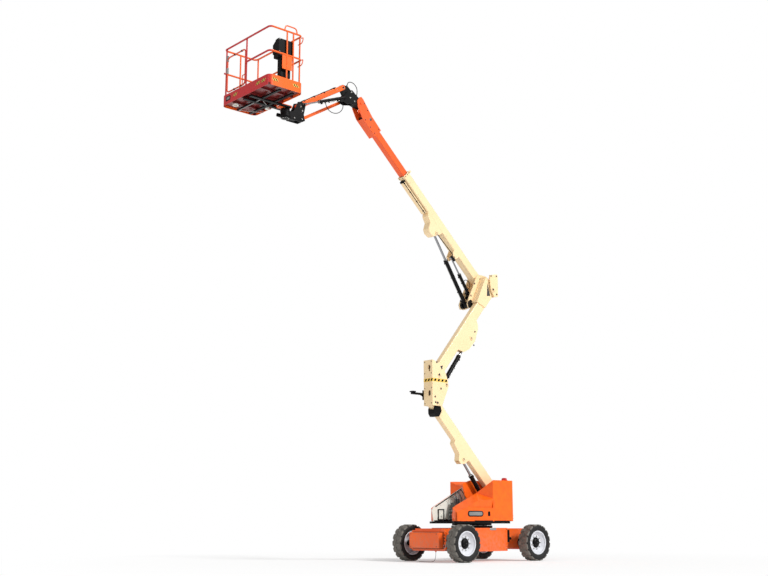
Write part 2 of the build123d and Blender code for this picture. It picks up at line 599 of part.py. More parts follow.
FLY_BACK = 1150.0
HEAD_CHEEK = ((HEAD_S, -125), (HEAD_S, 92), (4150, 104), (4520, 170), (4590, 165), (4612, 110), (4590, 20), (4500, -50), (4290, -125))
HEAD_TOP = ((HEAD_S, 60), (HEAD_S, 92), (4150, 104), (4370, 143), (4370, 120), (4150, 82), (3840, 60))
with BuildPart() as fly_boom:
    extrude(hollow(across(MAIN_FOOT, MAIN_ANGLE, MAIN_Y, FLY_BACK), FLY_W, FLY_D, 6, 16), amount=HEAD_S + 30 - FLY_BACK)
    extrude(outline(main_side, ((HEAD_S, -125), (HEAD_S, 92), (HEAD_S + 40, 92), (HEAD_S + 40, -125))), amount=95, both=True)
    extrude(outline(main_side, HEAD_TOP), amount=95, both=True)
    extrude(outline(main_side, ((HEAD_S, -125), (4250, -125), (4250, -108), (HEAD_S, -108))), amount=95, both=True)
    for s in (1, -1):
        extrude(outline(along(MAIN_FOOT, MAIN_ANGLE, MAIN_Y + s * 87), HEAD_CHEEK), amount=8, both=True)
    head_pin = reach(MAIN_FOOT, MAIN_ANGLE, *HEAD_PIN)
    extrude(disc(head_pin, MAIN_Y, 25), amount=108, both=True)
finish(fly_boom, "fly_boom")

# ---------------------------------------------------------------- jib
JIB_TIP = reach(JIB_FOOT, JIB_ANGLE, JIB_LENGTH)
LINK_TIP = reach(LINK_FOOT, JIB_ANGLE, JIB_LENGTH)
JIB_W = 100.0
JIB_D = 100.0
LINK_Y = MAIN_Y - 95.0
JIB_CYL_Y = MAIN_Y + 112.0
JIB_CYL_FOOT = (3330.0, 8880.0)
JIB_CYL_EYE = (4300.0, 8500.0)
CHEEK_Y = JIB_W / 2 + 14.0

# Hoses on the cylinders: each leaves one port of its barrel and comes back to another.
HOSE_R = 7.0
PORT_DEPTH = 15.0
JIB_HOSE = (
    (3408.5, JIB_CYL_Y, 8806.3), (3384, JIB_CYL_Y + 1, 8744), (3384, JIB_CYL_Y + 3, 8668),
    (3416, JIB_CYL_Y + 4, 8594), (3476, JIB_CYL_Y + 4, 8532), (3556, JIB_CYL_Y + 2, 8495), (3642, JIB_CYL_Y, 8486),
    (3721, JIB_CYL_Y - 2, 8508), (3776, JIB_CYL_Y - 2, 8556), (3801, JIB_CYL_Y, 8602), (3818.2, JIB_CYL_Y, 8645.8),
)
LEVEL_HOSE = (
    (-108.4, MAIN_Y, 5534.5), (-150, MAIN_Y, 5559), (-172, MAIN_Y - 2, 5604), (-162, MAIN_Y - 3, 5657),
    (-128, MAIN_Y - 3, 5702), (-81, MAIN_Y - 2, 5730), (-33, MAIN_Y, 5728.5), (5.2, MAIN_Y, 5696.5),
)

# The knuckle's hose, in a loop over its back.
KNUCKLE_HOSE_R = 7.5
KNUCKLE_HOSE = ((3195, MAIN_Y, 9206), (3178, MAIN_Y - 3, 9262), (3120, MAIN_Y - 5, 9297), (3048, MAIN_Y - 4, 9296),
                (2985, MAIN_Y, 9262), (2945, MAIN_Y + 3, 9203), (2936, MAIN_Y + 2, 9130), (2944, MAIN_Y, 9066),
                (2948, MAIN_Y, 9014))

# The knuckle is a wide box on the fly boom's head with a narrow lug that the jib's fork straddles.
KNUCKLE_BOX = ((2850, 8800), (2850, 8930), (2960, 8985), (3120, 9100), (3225, 9060), (3300, 8960), (3355, 8905),
               (3370, 8830), (3250, 8790), (3080, 8830), (2960, 8800))
KNUCKLE_WEB = ((2850, 8800), (2850, 8930), (2960, 8985), (3100, 9085), (3140, 8960), (3080, 8830), (2960, 8800))
KNUCKLE_LUG = ((3020, 8960), (3060, 9060), (3200, 9170), (3330, 9172), (3385, 9140), (3390, 9080), (3300, 8940),
               (3200, 8840))
LUG_HALF_W = 30.0
FORK = (36.0, 50.0)
with BuildPart() as jib_knuckle:
    for s in (1, -1):
        extrude(outline(side(MAIN_Y + s * CHEEK_Y), KNUCKLE_BOX), amount=8, both=True)
    extrude(outline(side(MAIN_Y), KNUCKLE_WEB), amount=CHEEK_Y, both=True)
    extrude(outline(side(MAIN_Y), KNUCKLE_LUG), amount=LUG_HALF_W, both=True)
    pin_hole(head_pin, MAIN_Y, 25.5, 2 * CHEEK_Y + 20)
    extrude(disc(JIB_FOOT, MAIN_Y, 18), amount=FORK[1] + 12, both=True)
    extrude(disc(LINK_FOOT, MAIN_Y - CHEEK_Y, 16), amount=62)
    extrude(disc(JIB_CYL_FOOT, MAIN_Y + CHEEK_Y, 14), amount=-80)
    for port in hose_ports(KNUCKLE_HOSE, KNUCKLE_HOSE_R + 4):
        extrude(port, amount=50)
finish(jib_knuckle, "jib_knuckle")

FORK_ROOT = 115.0
with BuildPart() as jib_boom:
    extrude(hollow(across(JIB_FOOT, JIB_ANGLE, MAIN_Y, FORK_ROOT), JIB_W, JIB_D, 6, 14), amount=JIB_LENGTH - FORK_ROOT - 40)
    for s in (1, -1):
        y = MAIN_Y + s * sum(FORK) / 2
        fork = outline(along(JIB_FOOT, JIB_ANGLE, y), ((0, -48), (FORK_ROOT + 20, -48), (FORK_ROOT + 20, 48), (0, 48)))
        extrude(fork, amount=(FORK[1] - FORK[0]) / 2, both=True)
        extrude(disc(JIB_FOOT, y, 48), amount=(FORK[1] - FORK[0]) / 2, both=True)
    extrude(disc(JIB_TIP, MAIN_Y, 46), amount=JIB_W / 2, both=True)
    extrude(outline(along(JIB_FOOT, JIB_ANGLE, MAIN_Y), (
        (JIB_LENGTH - 80, -43), (JIB_LENGTH, -43), (JIB_LENGTH, 43), (JIB_LENGTH - 80, 43))), amount=JIB_W / 2 - 3, both=True)
    for pin in (JIB_FOOT, JIB_TIP):
        pin_hole(pin, MAIN_Y, 18.5, JIB_W)
finish(jib_boom, "jib_boom")

with BuildPart() as jib_link:
    extrude(outline(along(LINK_FOOT, JIB_ANGLE, LINK_Y), (
        (0, -30), (JIB_LENGTH, -30), (JIB_LENGTH, 30), (0, 30))), amount=15, both=True)
    extrude(disc(LINK_FOOT, LINK_Y, 36), amount=15, both=True)
    extrude(disc(LINK_TIP, LINK_Y, 36), amount=15, both=True)
    pin_hole(LINK_FOOT, LINK_Y, 16.5, 30)
finish(jib_link, "jib_link")

with BuildPart() as basket_support:
    cheek = ((4270, 8180), (4340, 8140), (4600, 8140), (4640, 8180), (4640, 8285), (4535, 8310), (4475, 8430),
             (4440, 8520), (4380, 8540), (4272, 8532), (4262, 8480), (4300, 8300))
    for s in (1, -1):
        extrude(outline(side(MAIN_Y + s * CHEEK_Y), cheek), amount=8, both=True)
    block((4470, 4620), (MAIN_Y - CHEEK_Y, MAIN_Y + CHEEK_Y), (8150, 8300))
    with Locations((ROTATOR_X, MAIN_Y, 8240)):
        Cylinder(85, 180)
    extrude(disc(JIB_TIP, MAIN_Y, 18), amount=CHEEK_Y + 14, both=True)
    extrude(disc(JIB_CYL_EYE, MAIN_Y + CHEEK_Y, 16), amount=-(JIB_CYL_Y - MAIN_Y - CHEEK_Y - 20))
    extrude(disc(LINK_TIP, MAIN_Y - CHEEK_Y, 16), amount=MAIN_Y - CHEEK_Y - LINK_Y - 17)
finish(basket_support, "basket_support")

# ---------------------------------------------------------------- lift cylinders
# One row for each: name, foot pin, rod eye, lateral place, barrel and rod radius, barrel length, rod's start,
# foot pin's radius and half the eye's width.
CYLINDERS = (
    ("lower_lift", LIFT_FOOT, LIFT_EYES["lower_lift"], TOWER_Y, 42, 25, 790, 600, 22, EYE_GAP - 1),
    ("mid_lift", MID_LIFT_FOOT, LIFT_EYES["mid_lift"], TOWER_Y, 42, 25, 790, 620, 22, EYE_GAP - 1),
    ("main_lift", MAIN_LIFT_FOOT, LIFT_EYES["main_lift"], MAIN_Y, 42, 24, 1050, 720, 22, EYE_GAP - 1),
    ("level", LEVEL_FOOT, LIFT_EYES["level"], MAIN_Y, 34, 17, 560, 385, 22, EYE_GAP - 1),
    ("jib_lift", JIB_CYL_FOOT, JIB_CYL_EYE, JIB_CYL_Y, 30, 15, 700, 175, 14, 18),
)
HOSES = {"jib_lift": JIB_HOSE, "level": LEVEL_HOSE}
for name, foot, eye, y, barrel_r, rod_r, barrel_end, rod_start, foot_pin_r, eye_half_w in CYLINDERS:
    length, angle = span(foot, eye)
    with BuildPart() as barrel:
        with BuildSketch(across(foot, angle, y, barrel_r / 2)):
            Circle(barrel_r)
        extrude(amount=barrel_end - barrel_r / 2)
        with BuildSketch(across(foot, angle, y, barrel_end - 45)):
            Circle(barrel_r + 4)
        extrude(amount=45)
        with BuildSketch(across(foot, angle, y, 60)):
            Circle(barrel_r - 6)
        extrude(amount=barrel_end - 80, mode=Mode.SUBTRACT)
        with BuildSketch(across(foot, angle, y, barrel_end - 30)):
            Circle(rod_r + 0.5)
        extrude(amount=40, mode=Mode.SUBTRACT)
        extrude(disc(foot, y, barrel_r), amount=barrel_r * 0.8, both=True)
        pin_hole(foot, y, foot_pin_r + 0.5, 2 * barrel_r)
        for port in hose_ports(HOSES[name], HOSE_R + 4) if name in HOSES else ():
            extrude(port, amount=PORT_DEPTH)
    finish(barrel, name + "_barrel")
    with BuildPart() as rod:
        with BuildSketch(across(foot, angle, y, rod_start)):
            Circle(rod_r)
        extrude(amount=length - rod_start)
        extrude(disc(eye, y, rod_r * 1.5), amount=eye_half_w, both=True)
    finish(rod, name + "_rod")

# ---------------------------------------------------------------- hoses and the earthing strap
CORDS = (
    ("earth_strap", STRAP_R, STRAP),
    ("knuckle_hose", KNUCKLE_HOSE_R, KNUCKLE_HOSE),
    ("jib_hose", HOSE_R, JIB_HOSE),
    ("level_hose", HOSE_R, LEVEL_HOSE),
)
for name, radius, points in CORDS:
    radii = bend_radii(points)
    print(name, "radii", [round(r) for r in radii])
    with BuildPart() as cord:
        with BuildLine() as route:
            FilletPolyline(*points, radius=radii)
        with BuildSketch(Plane(origin=route.line @ 0, z_dir=route.line % 0)):
            Circle(radius)
        sweep()
    finish(cord, name)

# ---------------------------------------------------------------- basket
FLOOR_Z = BASKET_Z + 50.0
KICK_TOP = BASKET_Z + 200.0
KICK_CORNER = 90.0
KICK_WALL = 5.0
ANCHOR = (250.0, 8530.0)
ANCHOR_R = 15.0
BASKET_SIZE = (BASKET_X[1] - BASKET_X[0], BASKET_Y[1] - BASKET_Y[0])
BASKET_MID = (sum(BASKET_X) / 2, sum(BASKET_Y) / 2)
with BuildPart() as basket_floor:
    # the rounded toe board, with the floor and its cross ribs inside it
    with BuildSketch(Plane.XY.offset(BASKET_Z)):
        with Locations(BASKET_MID):
            RectangleRounded(*BASKET_SIZE, KICK_CORNER)
            RectangleRounded(BASKET_SIZE[0] - 2 * KICK_WALL, BASKET_SIZE[1] - 2 * KICK_WALL, KICK_CORNER - KICK_WALL,
                             mode=Mode.SUBTRACT)
    extrude(amount=KICK_TOP - BASKET_Z)
    with BuildSketch(Plane.XY.offset(FLOOR_Z - 12)):
        with Locations(BASKET_MID):
            RectangleRounded(BASKET_SIZE[0] - 2, BASKET_SIZE[1] - 2, KICK_CORNER - 1)
    extrude(amount=12)
    for k in range(4):
        y = BASKET_Y[0] + 304 * (k + 1)
        block((BASKET_X[0] + 2, BASKET_X[1] - 2), (y - 20, y + 20), (BASKET_Z + 5, FLOOR_Z - 5))
    # lanyard anchors: a plate behind the toe board with an eye through both
    for s in (1, -1):
        y = MAIN_Y + s * ANCHOR[0]
        block((BASKET_X[0] + 2, BASKET_X[0] + 13), (y - 35, y + 35), (ANCHOR[1] - 30, ANCHOR[1] + 38))
        with Locations(Location((BASKET_X[0] + 6, y, ANCHOR[1]), (0, 90, 0))):
            Cylinder(ANCHOR_R, 40, mode=Mode.SUBTRACT)
    # the carrier under the floor and its plate on the rotator
    for s in (1, -1):
        block((ROTATOR_X - 60, BASKET_X[1] - 60), sorted((MAIN_Y + s * 70, MAIN_Y + s * 130)), (BASKET_Z - 32, BASKET_Z + 6))
    block((ROTATOR_X - 60, BASKET_X[0]), (MAIN_Y - 75, MAIN_Y + 75), (BASKET_Z - 32, BASKET_Z - 8))
finish(basket_floor, "basket_floor")

MID_RAIL_Z = 9030.0
inset = RAIL_R + 6
corners = ((BASKET_X[0] + inset, BASKET_Y[0] + inset), (BASKET_X[1] - inset, BASKET_Y[0] + inset),
           (BASKET_X[1] - inset, BASKET_Y[1] - inset), (BASKET_X[0] + inset, BASKET_Y[1] - inset))
POST_R = 15.0
POST_X = (BASKET_X[0] + inset, BASKET_X[1] - inset)
POST_Y = (BASKET_Y[0] + inset, MAIN_Y, BASKET_Y[1] - inset)
POSTS = ((POST_X[1], POST_Y[0] + 70), (POST_X[1], MAIN_Y), (5060, POST_Y[2]), (5200, POST_Y[2]), (POST_X[0], POST_Y[0] + 70),
         (POST_X[0], MAIN_Y), (POST_X[0], POST_Y[2] - 70), (5220, POST_Y[0]))
HOOP = ((4975, 0), (5000, 105), (5235, 105), (5260, 0))
TOP_RAIL_Z = BASKET_TOP - RAIL_R
BEND_R = 70.0
with BuildPart() as basket_rails:
    with BuildLine() as top_rail:
        FilletPolyline(*[(*corner, TOP_RAIL_Z) for corner in corners], radius=BEND_R, close=True)
    with BuildSketch(Plane(origin=top_rail.line @ 0, z_dir=top_rail.line % 0)):
        Circle(RAIL_R)
    sweep()
    # the middle rail goes round three sides and stops at the gate's post
    middle = (corners[1], corners[0], corners[3], corners[2], (corners[2][0], MAIN_Y))
    with BuildLine() as mid_rail:
        FilletPolyline(*[(*corner, MID_RAIL_Z) for corner in middle], radius=BEND_R)
    with BuildSketch(Plane(origin=mid_rail.line @ 0, z_dir=mid_rail.line % 0)):
        Circle(RAIL_R)
    sweep()
    for x, y in POSTS:
        section, run = bar((x, y, FLOOR_Z), (x, y, TOP_RAIL_Z), POST_R)
        extrude(section, amount=run)
    # the hoop over the console and the plate below it
    with BuildLine() as hoop:
        FilletPolyline(*[(x, POST_Y[2], TOP_RAIL_Z + up) for x, up in HOOP], radius=55)
    with BuildSketch(Plane(origin=hoop.line @ 0, z_dir=hoop.line % 0)):
        Circle(12)
    sweep()
    block((5085, 5300), (POST_Y[2] - 3, POST_Y[2] + 3), (8750, MID_RAIL_Z))
finish(basket_rails, "basket_rails")

GATE_Z = (KICK_TOP + 45, 9300)
GATE_Y = (BASKET_Y[0] + 130, MAIN_Y - 35)
GATE_X = BASKET_X[1] - inset
with BuildPart() as gate:
    frame = [(GATE_X, y, z) for y, z in zip(GATE_Y + GATE_Y[::-1], (GATE_Z[0], GATE_Z[0], GATE_Z[1], GATE_Z[1]))]
    with BuildLine() as loop:
        FilletPolyline(*frame, radius=BEND_R, close=True)
    with BuildSketch(Plane(origin=loop.line @ 0, z_dir=loop.line % 0)):
        Circle(14)
    sweep()
finish(gate, "gate")

CONSOLE_BACK = BASKET_Y[1] - inset - 30
with BuildPart() as console:
    with BuildSketch(Plane(origin=(5020, 0, 0), x_dir=(0, 1, 0), z_dir=(1, 0, 0))):
        with BuildLine():
            Polyline((CONSOLE_BACK, 9060), (CONSOLE_BACK, 9330), (CONSOLE_BACK - 70, 9330), (CONSOLE_BACK - 190, 9240),
                     (CONSOLE_BACK - 190, 9060), close=True)
        make_face()
    extrude(amount=340)
finish(console, "console")
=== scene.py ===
import json
from math import cos, pi, radians, sin

import bmesh
import bpy
from mathutils import Matrix, Vector


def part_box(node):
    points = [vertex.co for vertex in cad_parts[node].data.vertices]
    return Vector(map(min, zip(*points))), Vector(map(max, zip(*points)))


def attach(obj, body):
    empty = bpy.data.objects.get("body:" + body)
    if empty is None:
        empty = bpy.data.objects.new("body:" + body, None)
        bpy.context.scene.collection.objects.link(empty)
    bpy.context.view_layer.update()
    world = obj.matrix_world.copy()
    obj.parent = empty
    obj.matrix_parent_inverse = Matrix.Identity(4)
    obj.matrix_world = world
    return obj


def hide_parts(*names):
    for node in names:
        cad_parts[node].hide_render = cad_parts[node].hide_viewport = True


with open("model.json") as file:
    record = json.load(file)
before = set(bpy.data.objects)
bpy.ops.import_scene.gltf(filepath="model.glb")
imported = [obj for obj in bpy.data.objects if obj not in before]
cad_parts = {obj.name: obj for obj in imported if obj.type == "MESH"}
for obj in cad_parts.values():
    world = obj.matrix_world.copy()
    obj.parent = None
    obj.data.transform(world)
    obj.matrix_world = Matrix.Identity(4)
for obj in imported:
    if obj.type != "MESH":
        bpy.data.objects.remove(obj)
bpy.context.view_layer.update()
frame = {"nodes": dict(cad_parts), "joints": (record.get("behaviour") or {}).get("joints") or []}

# An articulating boom lift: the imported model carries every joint, and this script paints and dresses it.
# Everything is in metres: +X forward along the booms, +Y to the machine's left, +Z up.

PIN = {joint["name"]: Vector(joint["pos_m"]) for joint in frame["joints"] if joint["type"] == "hinge"}
SLIDE = {joint["name"]: Vector(joint["axis"]) for joint in frame["joints"] if joint["type"] == "slide"}
LEFT = Vector((0, 1, 0))
LANE_Y = round(PIN["main_lift"].y, 3)  # the middle plane that the main boom, jib and basket share
GATE_X = round(PIN["gate"].x, 3)  # the line of the basket's front rails
ROTATOR_X = round(PIN["basket_rotate"].x, 3)
BASKET_X, FRONT_X = 5.22, 5.6  # the basket's middle and the front face of its toe board
FLOOR_TOP = 8.4195


def boom_axes(pin, way):
    """Axes set on a pin: x along a boom, y to the machine's left and z across the boom."""
    x = Vector(way).normalized()
    return Matrix.Translation(pin) @ Matrix((x, LEFT, x.cross(LEFT))).transposed().to_4x4()


LOWER = boom_axes(PIN["lower_lift"], PIN["lower_upright"] - PIN["lower_lift"])
MID = boom_axes(PIN["mid_lift"], PIN["upper_upright"] - PIN["mid_lift"])
MAIN = boom_axes(PIN["main_lift"], SLIDE["telescope"])
JIB = boom_axes(PIN["jib_lift"], PIN["basket_level"] - PIN["jib_lift"])


# ---------------------------------------------------------------- finishes
def tint(red, green, blue):
    """A screen colour from 0 to 255, as the shader's own linear values."""
    def linear(c):
        c /= 255
        return c / 12.92 if c <= 0.04045 else ((c + 0.055) / 1.055) ** 2.4
    return (linear(red), linear(green), linear(blue), 1.0)


class Finish:
    """A material and the few nodes that the finishes share."""

    def __init__(self, name, roughness, metal=0.0, coat=0.0, gloss=0.35):
        self.material = bpy.data.materials.new(name)
        self.material.use_nodes = True
        self.nodes = self.material.node_tree.nodes
        self.shader = self.nodes["Principled BSDF"]
        self.shader.inputs["Roughness"].default_value = roughness
        self.shader.inputs["Metallic"].default_value = metal
        self.shader.inputs["Coat Weight"].default_value = coat
        self.shader.inputs["Coat Roughness"].default_value = 0.12
        self.shader.inputs["Specular IOR Level"].default_value = gloss
        self.place = self.nodes.new("ShaderNodeTexCoord").outputs["Object"]

    def link(self, out, socket):
        self.material.node_tree.links.new(out, socket)

    def noise(self, scale, detail=3.0, stretch=(1, 1, 1)):
        mapping = self.nodes.new("ShaderNodeMapping")
        mapping.inputs["Scale"].default_value = stretch
        self.link(self.place, mapping.inputs["Vector"])
        texture = self.nodes.new("ShaderNodeTexNoise")
        texture.inputs["Scale"].default_value = scale
        texture.inputs["Detail"].default_value = detail
        self.link(mapping.outputs["Vector"], texture.inputs["Vector"])
        return texture.outputs["Fac"]

    def ramp(self, value, low, high, start=0.0, end=1.0):
        """A value's way from low to high, clamped, as a value from start to end."""
        node = self.nodes.new("ShaderNodeMapRange")
        for socket, number in zip(("From Min", "From Max", "To Min", "To Max"), (low, high, start, end)):
            node.inputs[socket].default_value = number
        self.link(value, node.inputs["Value"])
        return node.outputs["Result"]

    def sum(self, kind, a, b):
        node = self.nodes.new("ShaderNodeMath")
        node.operation = kind
        for socket, value in zip(node.inputs, (a, b)):
            if isinstance(value, (int, float)):
                socket.default_value = value
            else:
                self.link(value, socket)
        return node.outputs["Value"]

    def mix(self, share, a, b):
        node = self.nodes.new("ShaderNodeMix")
        node.data_type = "RGBA"
        for socket, value in ((node.inputs[0], share), (node.inputs[6], a), (node.inputs[7], b)):
            if isinstance(value, (int, float, tuple)):
                socket.default_value = value
            else:
                self.link(value, socket)
        return node.outputs[2]

    def axis(self, letter):
        node = self.nodes.new("ShaderNodeSeparateXYZ")
        self.link(self.place, node.inputs["Vector"])
        return node.outputs[letter]

    def colour(self, value):
        socket = self.shader.inputs["Base Color"]
        if isinstance(value, tuple):
            socket.default_value = value
        else:
            self.link(value, socket)

    def rough(self, value):
        self.link(value, self.shader.inputs["Roughness"])

    def bump(self, height, depth, strength=0.6):
        node = self.nodes.new("ShaderNodeBump")
        node.inputs["Strength"].default_value = strength
        node.inputs["Distance"].default_value = depth
        self.link(height, node.inputs["Height"])
        self.link(node.outputs["Normal"], self.shader.inputs["Normal"])


def paint(name, fresh, worn, roughness=0.34, coat=0.3, dusty=0.0, gloss=0.35, streaked=0.25, over=None):
    """Sprayed enamel: a slightly uneven coat with fine peel, dulled by handling, and dusty below a height."""
    finish = Finish(name, roughness, coat=coat, gloss=gloss)
    patches = finish.ramp(finish.noise(2.6, 5.0), 0.38, 0.68)
    colour = finish.mix(finish.sum("MULTIPLY", patches, 0.45), fresh, worn)
    # over lays painted shade on the colour, as on the basket's front side and under its floor.
    if over:
        colour = over(finish, colour)
    streaks = finish.ramp(finish.noise(34.0, 4.0, (1, 1, 0.12)), 0.66, 0.8)
    colour = finish.mix(finish.sum("MULTIPLY", streaks, streaked), colour, worn)
    if dusty:
        height = finish.ramp(finish.axis("Z"), dusty, 0.12)
        dust = finish.sum("MULTIPLY", height, finish.ramp(finish.noise(18.0, 6.0), 0.35, 0.75))
        colour = finish.mix(finish.sum("MULTIPLY", dust, 0.5), colour, tint(150, 138, 122))
    finish.colour(colour)
    finish.rough(finish.ramp(patches, 0.0, 1.0, roughness - 0.05, roughness + 0.12))
    finish.bump(finish.noise(420.0, 2.0), 0.0006, 0.12)
    return finish.material


def basket_painted_shade(front, underside_shade):
    """Painted shade over the basket's enamel: a darker, redder colour along its front side, and a dark colour under
    its floor.
    """
    def over(finish, colour):
        # Painted shade: a darker, redder colour along the basket's front side.
        colour = finish.mix(finish.ramp(finish.axis("X"), FRONT_X - 0.1, FRONT_X - 0.025), colour, front)
        # Painted shade under the floor: a dark colour below the floor's top, inside the basket's outline.
        under_floor_shade = finish.sum("LESS_THAN", finish.axis("Z"), FLOOR_TOP - 0.0055)
        for letter, middle, half in (("X", BASKET_X, 0.366), ("Y", LANE_Y, 0.748)):
            off = finish.sum("ABSOLUTE", finish.sum("SUBTRACT", finish.axis(letter), middle), 0.0)
            under_floor_shade = finish.sum("MULTIPLY", under_floor_shade, finish.sum("LESS_THAN", off, half))
        return finish.mix(under_floor_shade, colour, underside_shade)
    return over


def moulded(name, fresh, worn, roughness=0.5, grain=900.0, gloss=0.35):
    """Moulded plastic with a fine grain."""
    finish = Finish(name, roughness, gloss=gloss)
    patches = finish.ramp(finish.noise(9.0, 4.0), 0.35, 0.7)
    finish.colour(finish.mix(patches, fresh, worn))
    finish.rough(finish.ramp(patches, 0.0, 1.0, roughness - 0.06, roughness + 0.1))
    finish.bump(finish.noise(grain, 2.0), 0.0006, 0.35)
    return finish.material


def bright_steel(name, colour, roughness, brushed=(1, 1, 1)):
    """Bare or plated metal with fine drawn lines."""
    finish = Finish(name, roughness, metal=1.0)
    lines = finish.noise(260.0, 3.0, brushed)
    finish.colour(finish.mix(finish.ramp(lines, 0.4, 0.75), colour, tuple(0.8 * c for c in colour[:3]) + (1.0,)))
    finish.rough(finish.ramp(lines, 0.0, 1.0, roughness * 0.7, roughness * 1.5))
    finish.bump(lines, 0.0002, 0.2)
    return finish.material


def tyre_rubber(name, fresh, dusty, roughness):
    """Rubber, scuffed and dusted in patches, with a fine grain."""
    finish = Finish(name, roughness)
    scuffs = finish.ramp(finish.noise(26.0, 6.0), 0.36, 0.72)
    finish.colour(finish.mix(scuffs, fresh, dusty))
    finish.rough(finish.ramp(scuffs, 0.0, 1.0, roughness - 0.1, roughness + 0.15))
    finish.bump(finish.sum("ADD", finish.noise(700.0, 2.0), scuffs), 0.0008, 0.4)
    return finish.material


ORANGE = paint("orange_enamel", tint(250, 104, 20), tint(232, 88, 18))
CHASSIS_ORANGE = paint("orange_enamel_chassis", tint(250, 102, 20), tint(228, 86, 20), dusty=0.75)
# The gate's darker, redder copy of the orange enamel is painted shade.
SHADED_GATE_ORANGE = paint("orange_enamel_gate_painted_shade", tint(226, 84, 48), tint(206, 68, 40))
# The basket's enamel carries painted shade: a darker, redder front side and a dark underside.
BASKET_ORANGE = paint("orange_enamel_basket_painted_shade", tint(250, 104, 22), tint(232, 88, 20), 0.36, 0.2, streaked=0.2,
                      over=basket_painted_shade(tint(196, 34, 40), tint(104, 26, 24)))
FLY_ORANGE = paint("red_orange_enamel", tint(246, 96, 32), tint(226, 80, 28))
HOOD_ORANGE = moulded("hood_orange", tint(252, 106, 20), tint(244, 94, 18), 0.34, 500.0)
CREAM = paint("cream_enamel", tint(250, 222, 176), tint(240, 206, 156))
PALE = paint("pale_grey_enamel", tint(238, 238, 228), tint(216, 216, 204))
BLACK = paint("black_enamel", tint(12, 12, 13), tint(24, 23, 23), 0.42, 0.0, gloss=0.14)
SATIN_BLACK = moulded("satin_black", tint(12, 12, 13), tint(24, 23, 23), 0.55, gloss=0.14)
RUBBER = moulded("black_rubber", tint(12, 12, 12), tint(22, 21, 21), 0.68, 700.0, gloss=0.12)
GREY_PLASTIC = moulded("grey_plastic", tint(120, 122, 122), tint(142, 142, 140), 0.5)
RED_PLASTIC = moulded("red_plastic", tint(190, 22, 20), tint(160, 20, 18), 0.4)
YELLOW = paint("yellow_enamel", tint(246, 204, 96), tint(232, 188, 84), 0.4)
CHROME = bright_steel("chromed_rod", (0.34, 0.345, 0.36, 1.0), 0.16, (1, 1, 1))
STEEL = bright_steel("zinc_steel", (0.5, 0.5, 0.48, 1.0), 0.36, (1, 1, 6))
DARK_STEEL = bright_steel("dark_steel", (0.12, 0.12, 0.12, 1.0), 0.42, (1, 1, 6))
RIM = paint("silver_enamel", tint(214, 216, 222), tint(184, 186, 192), 0.3, 0.3)
TREAD = tyre_rubber("tread_rubber", tint(96, 93, 88), tint(124, 119, 112), 0.82)
SIDEWALL = tyre_rubber("sidewall_rubber", tint(14, 14, 14), tint(30, 29, 28), 0.66)

CORNERS = ("front_left", "front_right", "rear_left", "rear_right")

# One row for each finish: the nodes that carry it.
WORN_BY = (
    (CHASSIS_ORANGE, ("chassis_frame", "front_cover")),
    (HOOD_ORANGE, ("hood_left", "hood_right")),
    (PALE, ("inner_panel_right",)),
    (ORANGE, ("inner_panel_left", "boom_pedestal", "jib_boom", "jib_link")),
    (BASKET_ORANGE, ("basket_floor", "basket_rails")),
    (SHADED_GATE_ORANGE, ("gate",)),
    (CREAM, ("lower_boom", "lower_upright", "mid_boom", "upper_upright", "main_boom", "hose_tray")),
    (FLY_ORANGE, ("fly_boom",)),
    (BLACK, ("swing_bearing", "drive_hubs", "knuckle_left", "knuckle_right", "turntable_deck", "end_guards",
             "boom_rest", "jib_knuckle", "basket_support", "lower_lift_barrel", "mid_lift_barrel",
             "main_lift_barrel", "level_barrel", "jib_lift_barrel")),
    (CHROME, ("lower_lift_rod", "mid_lift_rod", "main_lift_rod", "level_rod", "jib_lift_rod")),
    (DARK_STEEL, ("valve_block",)),
    (SATIN_BLACK, ("power_packs", "console")),
    (RIM, tuple("rim_" + corner for corner in CORNERS)),
    (SIDEWALL, tuple("tyre_" + corner for corner in CORNERS)),
)
for finish, nodes in WORN_BY:
    for node in nodes:
        mesh = frame["nodes"][node].data
        mesh.materials.clear()
        mesh.materials.append(finish)


# ---------------------------------------------------------------- making pieces
def keep(bm, name, body, *finishes, edge=0.0, sharp=35):
    """Turn a bmesh into a piece that rides on a body, with its hard edges eased."""
    mesh = bpy.data.meshes.new(name)
    bm.to_mesh(mesh)
    bm.free()
    for finish in finishes:
        mesh.materials.append(finish)
    mesh.shade_smooth()
    mesh.set_sharp_from_angle(angle=radians(sharp))
    piece = bpy.data.objects.new(name, mesh)
    bpy.context.scene.collection.objects.link(piece)
    if edge:
        ease = piece.modifiers.new("eased_edges", "BEVEL")
        ease.width = edge
        ease.segments = 2
        ease.limit_method = "ANGLE"
        ease.angle_limit = radians(sharp)
    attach(piece, body)
    return piece


def facing(at, way, up=(0, 0, 1)):
    """Axes at a point with z along a way, for turned work, bolts and plates; y is as near up as it can be."""
    z = Vector(way).normalized()
    if abs(z.dot(Vector(up).normalized())) > 0.999:
        up = (1, 0, 0)
    x = Vector(up).cross(z).normalized()
    return Matrix.Translation(Vector(at)) @ Matrix((x, z.cross(x), z)).transposed().to_4x4()


def add_block(bm, low, high, place=Matrix()):
    """A block between two opposite corners, given in the axes of a place."""
    low, high = Vector(low), Vector(high)
    size = Matrix.Diagonal((*(abs(d) for d in high - low), 1))
    bmesh.ops.create_cube(bm, size=1, matrix=place @ Matrix.Translation((low + high) / 2) @ size)


def add_rod(bm, a, b, radius, far=None, sides=20, place=Matrix()):
    """A round bar between two points in the axes of a place; far is its radius at the second."""
    a, b = place @ Vector(a), place @ Vector(b)
    bmesh.ops.create_cone(bm, cap_ends=True, segments=sides, radius1=radius,
                          radius2=radius if far is None else far,
                          depth=(b - a).length, matrix=facing((a + b) / 2, b - a))


